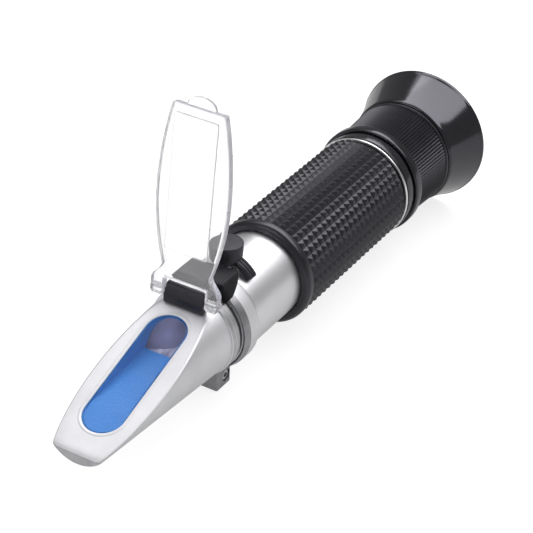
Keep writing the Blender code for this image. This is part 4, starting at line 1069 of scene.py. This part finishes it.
def make_liner():
    """Blue tray under the window, with its sloping floor."""
    outside, inside = stadium(LINER_INSET), stadium(LINER_INSET + LINER_WALL)
    rings = [
        at_level(outside, LINER_BOTTOM),
        on_face(outside, -GLASS_RECESS),
        on_face(inside, -GLASS_RECESS),
        [face_point(s, -floor_depth(s), y) for s, y in inside],
    ]
    liner = loft(rings, capped=False)
    liner.verts.ensure_lookup_table()
    count = len(inside)
    tip = CURVE_STEPS // 2
    for ring in (liner.verts[:count], liner.verts[-count:]):
        rows = [(ring[(tip - k) % count], ring[(tip + k) % count]) for k in range(count // 2 + 1)]
        for (left, right), (next_left, next_right) in zip(rows, rows[1:]):
            liner.faces.new(list(dict.fromkeys((left, next_left, next_right, right))))
    publish("blue_liner", liner, BLUE, "instrument", "prism_liner")


REAR_END_DEPTH = 0.55 * MM
REAR_END_HOLLOW = 0.9 * MM
REAR_END_THICKNESS = 0.15 * MM
REAR_END_ROWS = 40
REAR_END_BULGE = 0.25
REAR_END_BULGE_POWER = 1.5
REAR_END_SHADE = 0.40
REAR_END_SHADE_SLANT = 0.22


def make_rear_end():
    """The prism's ground rear end: a hollow slope from the liner's floor up to the window's rear edge."""
    half = WINDOW_HALF_WIDTH - LINER_INSET - LINER_WALL
    end = WINDOW_END - LINER_INSET - LINER_WALL
    shape = bmesh.new()
    grid = []
    for share in shares(REAR_END_ROWS):
        s = between(FLOOR_END, end, share)
        past = max(s - (end - half), 0.0)
        width = math.sqrt(max(half * half - past * past, 0.0))
        left = 1 - share
        rise = share + REAR_END_BULGE * (left - left**REAR_END_BULGE_POWER)
        depth = between(floor_depth(FLOOR_END), REAR_END_DEPTH, rise)
        ring = []
        for column in shares(CURVE_STEPS):
            across = 2 * column - 1
            hollow = REAR_END_HOLLOW * (1 - across * across) * math.sin(math.pi * share)
            ring.append(shape.verts.new(face_point(s, -depth - hollow, width * across)))
        grid.append(ring)
    for first, second in zip(grid, grid[1:]):
        bridge(shape, first, second, closed=False)
    bmesh.ops.remove_doubles(shape, verts=shape.verts, dist=SAME_POINT)
    bmesh.ops.recalc_face_normals(shape, faces=shape.faces)
    bmesh.ops.solidify(shape, geom=shape.faces[:], thickness=REAR_END_THICKNESS)

    def is_shaded(face):
        up = (TIP - face.center.x) / math.cos(FACE_ANGLE) - FLOOR_END
        return up > (end - FLOOR_END) * (REAR_END_SHADE + REAR_END_SHADE_SLANT * face.center.y / half)

    publish("prism_rear_end", shape, SILVER, "instrument", sharp=60, second=VIOLET, is_second=is_shaded)


GLASS_THICKNESS = 0.22 * MM
GLASS_INSET = 0.1 * MM


def make_window_glass():
    outline = stadium(LINER_INSET + GLASS_INSET)
    glass = loft([on_face(outline, -GLASS_RECESS - depth) for depth in (GLASS_THICKNESS, 0.0)])
    publish("prism_glass", glass, WINDOW_GLASS, "instrument", "prism")


# Hinge

HINGE = next(j for j in frame["joints"] if j["name"] == "plate_hinge")
HINGE_AXIS = Vector(HINGE["pos_m"]) - BARREL_ORIGIN
HINGE_HEIGHT = 2.85 * MM
HINGE_FROM_TIP = 48.05 * MM
BAR_HALF_WIDTH = radius_of("hinge_block")
BAR_BOTTOM = FIT_GAP - HINGE_HEIGHT
BAR_FRONT = 2.7 * MM
HEEL_START = 2.3 * MM
HEEL_REACH = 4.3 * MM
HEEL_THICKNESS = 1.6 * MM
HEEL_TOP = BAR_BOTTOM + HEEL_THICKNESS
BAR_STEPS = 6

# The bar's section: distance behind the pin, height above it and rounding of each corner
BAR_SECTION = (
    (-BAR_FRONT, BAR_BOTTOM, 0.3 * MM),
    (-2.0 * MM, -0.6 * MM, 0.15 * MM),
    (0.3 * MM, 1.45 * MM, 0.45 * MM),
    (1.8 * MM, 1.1 * MM, 0.6 * MM),
    (HEEL_START, HEEL_TOP, 0.4 * MM),
    (HEEL_REACH, HEEL_TOP, 0.3 * MM),
    (HEEL_REACH, BAR_BOTTOM, 0.2 * MM),
)

# The bar's rounded ends: share of its half width, and size of the section there
BAR_ENDS = ((-1.0, 0.90), (-0.985, 0.97), (-0.96, 1.0), (0.96, 1.0), (0.985, 0.97), (1.0, 0.90))


def make_hinge_bar():
    """The moulded bar on the face, with its heel under the plate."""
    outline = rounded(BAR_SECTION, SOFT_EDGE, BAR_STEPS, turned=False)
    centre = sum((Vector(point) for point in outline), Vector((0.0, 0.0))) / len(outline)
    rings = []
    for share, size in BAR_ENDS:
        ring = []
        for point in outline:
            along, height = centre.lerp(Vector(point), size)
            ring.append(face_point(HINGE_FROM_TIP + along, HINGE_HEIGHT + height, share * BAR_HALF_WIDTH))
        rings.append(ring)
    publish("hinge_bar", loft(rings), BAR, "instrument", "hinge_block", sharp=20)


PIN_RADIUS = 0.8 * MM
HINGE_SCREW_HEAD_RADIUS = 0.8 * MM
HINGE_SCREW_HEAD_HEIGHT = 0.7 * MM
HINGE_SCREW_HEAD_ROUND = 0.15 * MM
HINGE_SCREW_RADIUS = 0.6 * MM
HINGE_SCREW_DEPTH = 4.2 * MM
HINGE_SCREW_BEHIND_PIN = 2.9 * MM
HINGE_SCREW_PROUD = 0.4 * MM
HINGE_SCREW_CROWN = 0.35 * MM
HINGE_SCREW_DIMPLE = 0.3 * MM
HINGE_SCREW_EDGE = 0.05 * MM


def make_hinge_pin():
    reach = radius_of("hinge_pin")
    about = Matrix.Translation(HINGE_AXIS) @ TO_PLUS_Y
    pin = small_spin(ring_profile(-reach, reach, 0.0, PIN_RADIUS), SOFT_EDGE, about)
    publish("hinge_rod", pin, STEEL, "instrument", "hinge_pin")


def make_hinge_screws():
    """The two screws through the bar's heel, each with a dimple in its head."""
    top = HINGE_HEIGHT + HEEL_TOP + HINGE_SCREW_PROUD
    head_seat = top - HINGE_SCREW_HEAD_HEIGHT
    profile = [
        (-HINGE_SCREW_DEPTH, 0.0),
        (-HINGE_SCREW_DEPTH, HINGE_SCREW_RADIUS),
        (head_seat, HINGE_SCREW_RADIUS),
        (head_seat, HINGE_SCREW_HEAD_RADIUS),
        (top - HINGE_SCREW_HEAD_ROUND, HINGE_SCREW_HEAD_RADIUS, SMALL_EDGE),
        (top, HINGE_SCREW_CROWN, FINE_EDGE),
        (top - HINGE_SCREW_DIMPLE, 0.0),
    ]
    tilt = Matrix.Rotation(FACE_ANGLE - math.pi / 2, 4, "Y")
    for node in ("hinge_screw_left", "hinge_screw_right"):
        place = face_point(HINGE_FROM_TIP + HINGE_SCREW_BEHIND_PIN, 0.0, middle(node).y)
        screw = small_spin(profile, HINGE_SCREW_EDGE, Matrix.Translation(place) @ tilt)
        publish(f"{node}_head", screw, STEEL, "instrument", node)


# Daylight plate

PLATE_LEAN = math.radians(6.15)
PLATE_LENGTH = 47.4 * MM
PLATE_BACK = -0.6 * MM
PLATE_FRONT = 1.8 * MM
PLATE_TIP_HALF_WIDTH = 7.0 * MM
PLATE_WIDEST_HALF_WIDTH = 9.7 * MM
PLATE_WIDEST_AT = 25.5 * MM
PLATE_NECK_HALF_WIDTH = 6.65 * MM
PLATE_NECK_AT = 6.6 * MM
PLATE_EDGE_ROUND = 0.45 * MM
PLATE_EDGE_ANGLE = 50
PLATE_FLAT_SHARE = 0.9
EAR_HALF_WIDTH = 9.3 * MM
EAR_TOP = 2.0 * MM
EAR_DROP = 1.9 * MM
EAR_CORNER = 0.6 * MM
NOTCH_TOP = 2.9 * MM
PAD_HEIGHT = 0.5 * MM
PAD_DEPTH = 1.0 * MM
PAD_HALF_WIDTH = 5.85 * MM
PAD_START = 11.0 * MM
PAD_TIP_MARGIN = 1.9 * MM
PAD_CORNER = 0.8 * MM
THUMB_HALF_WIDTH = 3.85 * MM
THUMB_HEIGHT = 2.4 * MM
THUMB_ROOT = 1.0 * MM
THUMB_THICKNESS = 1.0 * MM
THUMB_BACK_STEP = 0.02 * MM
PAD_AND_THUMB_ROUND = 0.15 * MM


def plate_half_width(along):
    """The bowed edge: widest in the middle, and narrower towards the tip and the neck."""
    narrow, end = PLATE_NECK_HALF_WIDTH, PLATE_NECK_AT
    if along > PLATE_WIDEST_AT:
        narrow, end = PLATE_TIP_HALF_WIDTH, PLATE_LENGTH
    share = (along - PLATE_WIDEST_AT) / (end - PLATE_WIDEST_AT)
    return between(PLATE_WIDEST_HALF_WIDTH, narrow, share**2)


def plate_half_outline():
    """One side of the plate from the notch, round the ear and along the bowed edge to the tip."""
    notch = BAR_HALF_WIDTH + FIT_GAP
    points = [
        (notch, NOTCH_TOP),
        (notch, EAR_CORNER - EAR_DROP),
        (notch + EAR_CORNER, -EAR_DROP),
        (EAR_HALF_WIDTH - EAR_CORNER, -EAR_DROP),
        (EAR_HALF_WIDTH, EAR_CORNER - EAR_DROP),
    ]
    for share in shares(CURVE_STEPS // 2)[:-1]:
        ease = (1 - math.cos(math.pi * share)) / 2
        width = between(EAR_HALF_WIDTH, PLATE_NECK_HALF_WIDTH, ease)
        points.append((width, between(EAR_TOP, PLATE_NECK_AT, share)))
    for share in shares(CURVE_STEPS):
        along = between(PLATE_NECK_AT, PLATE_LENGTH, share)
        points.append((plate_half_width(along), along))
    return points


def make_daylight_plate():
    """Clear flap with its raised pad, thumb tab and ears, standing open on the pin."""
    stand = Matrix.Translation(HINGE_AXIS) @ Matrix.Rotation(-PLATE_LEAN, 4, "Y")

    def slab(outline, back, front, edge):
        rings = [[stand @ Vector((x, across, along)) for across, along in outline] for x in (back, front)]
        return soften(loft(rings), edge, BEVEL_STEPS, PLATE_EDGE_ANGLE)

    right = plate_half_outline()
    outline = right + [(-across, along) for across, along in reversed(right)]
    sheet = slab(outline, PLATE_BACK, PLATE_FRONT, PLATE_EDGE_ROUND)

    pad_end = PLATE_LENGTH - PAD_TIP_MARGIN
    corners = [
        (-PAD_HALF_WIDTH, PAD_START),
        (PAD_HALF_WIDTH, PAD_START),
        (PAD_HALF_WIDTH, pad_end),
        (-PAD_HALF_WIDTH, pad_end),
    ]
    pad_outline = rounded(corners, PAD_CORNER, turned=False)
    pad = slab(pad_outline, PLATE_FRONT - PAD_DEPTH, PLATE_FRONT + PAD_HEIGHT, PAD_AND_THUMB_ROUND)

    root = PLATE_LENGTH - THUMB_ROOT
    thumb_outline = [(THUMB_HALF_WIDTH, root)]
    for share in shares(CURVE_STEPS):
        angle = math.pi * share
        along = PLATE_LENGTH + THUMB_HEIGHT * math.sin(angle)
        thumb_outline.append((THUMB_HALF_WIDTH * math.cos(angle), along))
    thumb_outline.append((-THUMB_HALF_WIDTH, root))
    thumb_back = PLATE_BACK + THUMB_BACK_STEP
    thumb = slab(thumb_outline, thumb_back, PLATE_BACK + THUMB_THICKNESS, PAD_AND_THUMB_ROUND)

    shape = join(join(sheet, pad), thumb)
    square = stand.to_3x3() @ Vector((1.0, 0.0, 0.0))

    def is_edge(face):
        return abs(face.normal.dot(square)) < PLATE_FLAT_SHARE

    finishes = {"second": FROSTED, "is_second": is_edge}
    publish("clear_plate", shape, ACRYLIC, "plate", "daylight_plate", sharp=15, **finishes)


# Saddle, cap and calibration screw

SADDLE_HALF_ANGLE = math.radians(37.7)
SADDLE_SHOULDER_ANGLE = math.radians(23)
SADDLE_STEPS = 96
SADDLE_EDGE = 0.6 * MM
SADDLE_SWEEP = 6.2 * MM
SADDLE_SWEEP_POWER = 1.5
SADDLE_ROUND = 0.55 * MM


def make_saddle():
    """Rubber pad over the clamp ring: flat on top, with a wing on either side that ends in a point."""
    rear, front = stations("saddle_pad")
    top = levels("saddle_pad")[1]
    inner = levels("collar")[1] + FIT_GAP
    lip_front = stations("collar")[1] + FIT_GAP
    rings = []
    for share in shares(SADDLE_STEPS):
        angle = SADDLE_HALF_ANGLE * (2 * share - 1)
        fall = (abs(angle) - SADDLE_SHOULDER_ANGLE) / (SADDLE_HALF_ANGLE - SADDLE_SHOULDER_ANGLE)
        fall = max(fall, 0.0)
        shoulder = top / math.cos(min(abs(angle), SADDLE_SHOULDER_ANGLE))
        outer = between(shoulder, inner + SADDLE_EDGE, fall)
        back = rear + SADDLE_SWEEP * fall**SADDLE_SWEEP_POWER
        outline = [
            (back, inner),
            (back, outer, SADDLE_ROUND),
            (front, outer, SADDLE_ROUND),
            (front, OVER_BARREL),
            (lip_front, OVER_BARREL),
            (lip_front, inner),
        ]
        rings.append([polar(x, radius, angle) for x, radius in rounded(outline, FINE_EDGE)])
    # The saddle's rubber is darkened with painted shade
    publish("saddle", loft(rings), SADDLE_RUBBER_PAINTED_SHADE, "instrument", "saddle_pad", sharp=32)


CAP_CAVITY_RADIUS = 2.6 * MM
CAP_ROOF = 0.6 * MM
CAP_ROUND = 0.35 * MM
CAP_FOOT_INSET = 0.1 * MM
CAP_SKIRT = 0.9 * MM
CAP_NECK_DROP = 2.4 * MM
CAP_NECK_RADIUS = 3.1 * MM


def make_cap():
    """Rubber cap over the calibration screw, with a neck that tapers down round the bush."""
    foot, top = levels("screw_cap")
    radius = radius_of("screw_cap")
    about = Matrix.Translation((middle("screw_cap").x, 0.0, 0.0)) @ TO_PLUS_Z
    profile = [
        (top - CAP_ROOF, 0.0),
        (top - CAP_ROOF, CAP_CAVITY_RADIUS),
        (foot - CAP_NECK_DROP, CAP_CAVITY_RADIUS),
        (foot - CAP_NECK_DROP, CAP_NECK_RADIUS),
        (foot - CAP_SKIRT, radius - CAP_FOOT_INSET, BROAD_EDGE),
        (top, radius, CAP_ROUND),
        (top, 0.0),
    ]
    cap = spin(rounded(profile, SMALL_EDGE), SMALL_TURN_SEGMENTS * 2, about)
    publish("rubber_cap", cap, SOFT_RUBBER, "cap", "screw_cap")


# The tongue below the cap's right side: (Y, drop below the cap's foot, half width, thickness) at each bend
TAB_BENDS = (
    (2.8 * MM, 0.9 * MM, 1.5 * MM, 1.2 * MM),
    (3.7 * MM, 1.6 * MM, 1.6 * MM, 1.3 * MM),
    (4.7 * MM, 2.2 * MM, 1.6 * MM, 1.4 * MM),
    (5.6 * MM, 2.9 * MM, 1.55 * MM, 1.5 * MM),
    (6.4 * MM, 3.6 * MM, 1.5 * MM, 1.5 * MM),
    (7.1 * MM, 4.3 * MM, 1.4 * MM, 1.4 * MM),
    (7.4 * MM, 4.7 * MM, 1.2 * MM, 1.1 * MM),
)

# Ridges along the tongue, as shares of its half width
TAB_RIDGES = (-0.62, 0.0, 0.62)
TAB_RIDGE_TOP = 0.16
TAB_RIDGE_FOOT = 0.352
TAB_GROOVE_DEPTH = 0.3 * MM
TAB_CORNER = 0.15 * MM
TAB_CORNER_ANGLE = 50


def tab_section(half, thick):
    """The tongue's section: three ridges run along its upper side."""
    bottom, top = -thick / 2, thick / 2
    groove = top - TAB_GROOVE_DEPTH
    ridge = ((-TAB_RIDGE_FOOT, groove), (-TAB_RIDGE_TOP, top), (TAB_RIDGE_TOP, top), (TAB_RIDGE_FOOT, groove))
    points = [(-half, bottom), (-half, groove)]
    points += [(half * (centre + edge), level) for centre in TAB_RIDGES for edge, level in ridge]
    points += [(half, groove), (half, bottom)]
    return points


def make_tab():
    """The tongue that hangs below the cap and bends down towards the barrel, with ridges along it."""
    foot = levels("screw_cap")[0]
    centre = middle("screw_cap").x
    across = Vector((1.0, 0.0, 0.0))
    places = [Vector((centre, y, foot - drop)) for y, drop, _, _ in TAB_BENDS]
    rings = []
    for index, (place, (_, _, half, thick)) in enumerate(zip(places, TAB_BENDS)):
        before, after = places[max(index - 1, 0)], places[min(index + 1, len(places) - 1)]
        outward = across.cross(after - before).normalized()
        rings.append([place + across * x + outward * r for x, r in tab_section(half, thick)])
    tab = soften(loft(rings), TAB_CORNER, BEVEL_STEPS, TAB_CORNER_ANGLE)
    publish("ribbed_tab", tab, SOFT_RUBBER, "cap", "cap_tab")


SCREW_SLOT_WIDTH = 0.5 * MM
SCREW_SLOT_DEPTH = 0.5 * MM
SCREW_HEAD_HEIGHT = 1.0 * MM
SCREW_SHANK_RADIUS = 1.0 * MM
BUSH_BORE = 1.3 * MM


def make_calibration():
    """The bush under the cap's neck, and the slotted screw that shows when the cap is lifted."""
    centre = middle("calibration_bush")
    about = Matrix.Translation((centre.x, 0.0, 0.0)) @ TO_PLUS_Z
    low, high = levels("calibration_bush")
    outer = radius_of("calibration_bush")
    profile = [(low, BUSH_BORE), (low, outer), (high, outer, SOFT_EDGE), (high, BUSH_BORE, SMALL_EDGE)]
    bush = small_spin(profile, FINE_EDGE, about)
    publish("bush_sleeve", bush, STEEL, "instrument", "calibration_bush")

    low, high = levels("calibration_screw")
    head = radius_of("calibration_screw")
    profile = screw_profile(low, high - SCREW_HEAD_HEIGHT, high, SCREW_SHANK_RADIUS, head, SOFT_EDGE)
    screw = small_spin(profile, FINE_EDGE, about)
    reach = head + CUT_MARGIN
    slot_low = (centre.x - reach, -SCREW_SLOT_WIDTH / 2, high - SCREW_SLOT_DEPTH)
    slot_high = (centre.x + reach, SCREW_SLOT_WIDTH / 2, high + CUT_MARGIN)
    publish("slotted_screw", cut(screw, block(slot_low, slot_high)), STEEL, "adjuster", "calibration_screw")


# CAD nodes that stay inside as they are, by their finish

CELLS_AND_RINGS = (
    "exit_stop",
    "lens_spacer",
    "objective_cell",
    "objective_retainer",
    "reticle_cell",
    "reticle_retainer",
    "strip_anchor",
)
INSIDE_FINISHES = (
    (ANODISED, CELLS_AND_RINGS),
    (GLASS, ("field_lens", "objective_lens", "reticle")),
    (STEEL, ("key_screw", "return_spring", "sleeve_clip")),
    (BRASS, ("bimetal_strip",)),
)


def dress_inside():
    for finish, nodes in INSIDE_FINISHES:
        for node in nodes:
            for slot in frame["nodes"][node].material_slots:
                slot.link = "OBJECT"
                slot.material = finish.material


# Camera, light and floor

FOCAL_PIXELS = 1900
FRAME_PIXELS = 533
CAMERA_PLACE = BARREL_ORIGIN + Vector((436.25, 200.49, 259.79)) * MM
CAMERA_AZIMUTH = math.radians(29.8174)
CAMERA_ELEVATION = math.radians(32.7442)
CAMERA_ROLL = math.radians(2.6208)
CAMERA_NEAR = 0.01
CAMERA_FAR = 20.0

WHITE = (1.0, 1.0, 1.0, 1.0)
FLOOR_SIZE = 8.0
FLOOR_COLOUR = (0.42, 0.42, 0.42, 1.0)
FLOOR_ROUGHNESS = 0.9
FLOOR_GLOW = 0.80
FLOOR_SHINE = 0.30
WORLD_LIGHT = 0.30
ROOM_LIGHT = 0.28
SOFTBOXES = (
    # name, place, aims at, width, height, power
    ("overhead", (-0.50, 0.15, 0.80), (0.0, 0.0, 0.03), 1.30, 0.50, 7.0),
    ("face_box", (-0.17, -0.42, 0.85), (0.06, 0.0, 0.03), 0.60, 0.50, 1.5),
    ("front_fill", (0.75, -0.25, 0.55), (0.03, 0.0, 0.03), 0.40, 0.40, 1.2),
)


def make_camera():
    camera = bpy.data.cameras.new("photo_camera")
    camera.lens = FOCAL_PIXELS / FRAME_PIXELS * camera.sensor_width
    camera.clip_start = CAMERA_NEAR
    camera.clip_end = CAMERA_FAR
    view = bpy.data.objects.new("photo_camera", camera)
    swing = Matrix.Rotation(CAMERA_AZIMUTH + math.pi / 2, 4, "Z")
    tilt = Matrix.Rotation(math.pi / 2 - CAMERA_ELEVATION, 4, "X")
    roll = Matrix.Rotation(CAMERA_ROLL, 4, "Z")
    view.matrix_world = Matrix.Translation(CAMERA_PLACE) @ swing @ tilt @ roll
    bpy.context.scene.collection.objects.link(view)
    bpy.context.scene.camera = view


def make_lamps():
    for name, place, aim, width, height, power in SOFTBOXES:
        lamp = bpy.data.lights.new(name, "AREA")
        lamp.shape = "RECTANGLE"
        lamp.size = width
        lamp.size_y = height
        lamp.energy = power
        holder = bpy.data.objects.new(name, lamp)
        holder.location = place
        holder.rotation_euler = (Vector(aim) - Vector(place)).to_track_quat("-Z", "Y").to_euler()
        bpy.context.scene.collection.objects.link(holder)


def strength_by_ray(tree, diffuse, glossy, seen):
    """One strength for scattered light, one for what gloss mirrors, and one for what camera and glass see."""
    path = tree.nodes.new("ShaderNodeLightPath")
    plain = tree.nodes.new("ShaderNodeValue")
    strength = plain.outputs["Value"]
    strength.default_value = diffuse
    for kind, value in (("Is Glossy Ray", glossy), ("Is Camera Ray", seen), ("Is Transmission Ray", seen)):
        mix = tree.nodes.new("ShaderNodeMix")
        mix.inputs["B"].default_value = value
        tree.links.new(path.outputs[kind], mix.inputs["Factor"])
        tree.links.new(strength, mix.inputs["A"])
        strength = mix.outputs["Result"]
    return strength


def make_world():
    """Plain grey light all round. The camera and glass see white; gloss sees a dim room round the lamps."""
    world = bpy.data.worlds.new("studio")
    world.use_nodes = True
    bpy.context.scene.world = world
    tree = world.node_tree
    background = tree.nodes["Background"]
    background.inputs["Color"].default_value = WHITE
    strength = strength_by_ray(tree, WORLD_LIGHT, ROOM_LIGHT, 1.0)
    tree.links.new(strength, background.inputs["Strength"])


def make_floor():
    """White table: it takes shadows, and glows just enough to meet the white background."""
    shape = bmesh.new()
    bmesh.ops.create_grid(shape, x_segments=1, y_segments=1, size=FLOOR_SIZE / 2)
    mesh = bpy.data.meshes.new("floor")
    shape.to_mesh(mesh)
    shape.free()
    material = bpy.data.materials.new("white_table")
    material.use_nodes = True
    tree = material.node_tree
    shader = tree.nodes["Principled BSDF"]
    shader.inputs["Base Color"].default_value = FLOOR_COLOUR
    shader.inputs["Roughness"].default_value = FLOOR_ROUGHNESS
    shader.inputs["Specular IOR Level"].default_value = 0.0
    shader.inputs["Emission Color"].default_value = WHITE
    glow = strength_by_ray(tree, 0.0, FLOOR_SHINE, FLOOR_GLOW)
    tree.links.new(glow, shader.inputs["Emission Strength"])
    mesh.materials.append(material)
    floor = bpy.data.objects.new("floor", mesh)
    bpy.context.scene.collection.objects.link(floor)


def main():
    make_barrel()
    make_grip()
    make_trim_ring()
    make_base_ring()
    make_focus_ring()
    make_eyecup()
    make_lens_sleeve()
    make_eye_retainer()
    make_eye_lens()
    make_collar()
    make_clamp_screw()
    make_seal_ring()
    make_prism_housing()
    make_window_rim()
    make_liner()
    make_rear_end()
    make_window_glass()
    make_hinge_bar()
    make_hinge_pin()
    make_hinge_screws()
    make_daylight_plate()
    make_saddle()
    make_cap()
    make_tab()
    make_calibration()
    dress_inside()
    make_camera()
    make_lamps()
    make_world()
    make_floor()
    bpy.context.scene.view_settings.view_transform = "Standard"


main()
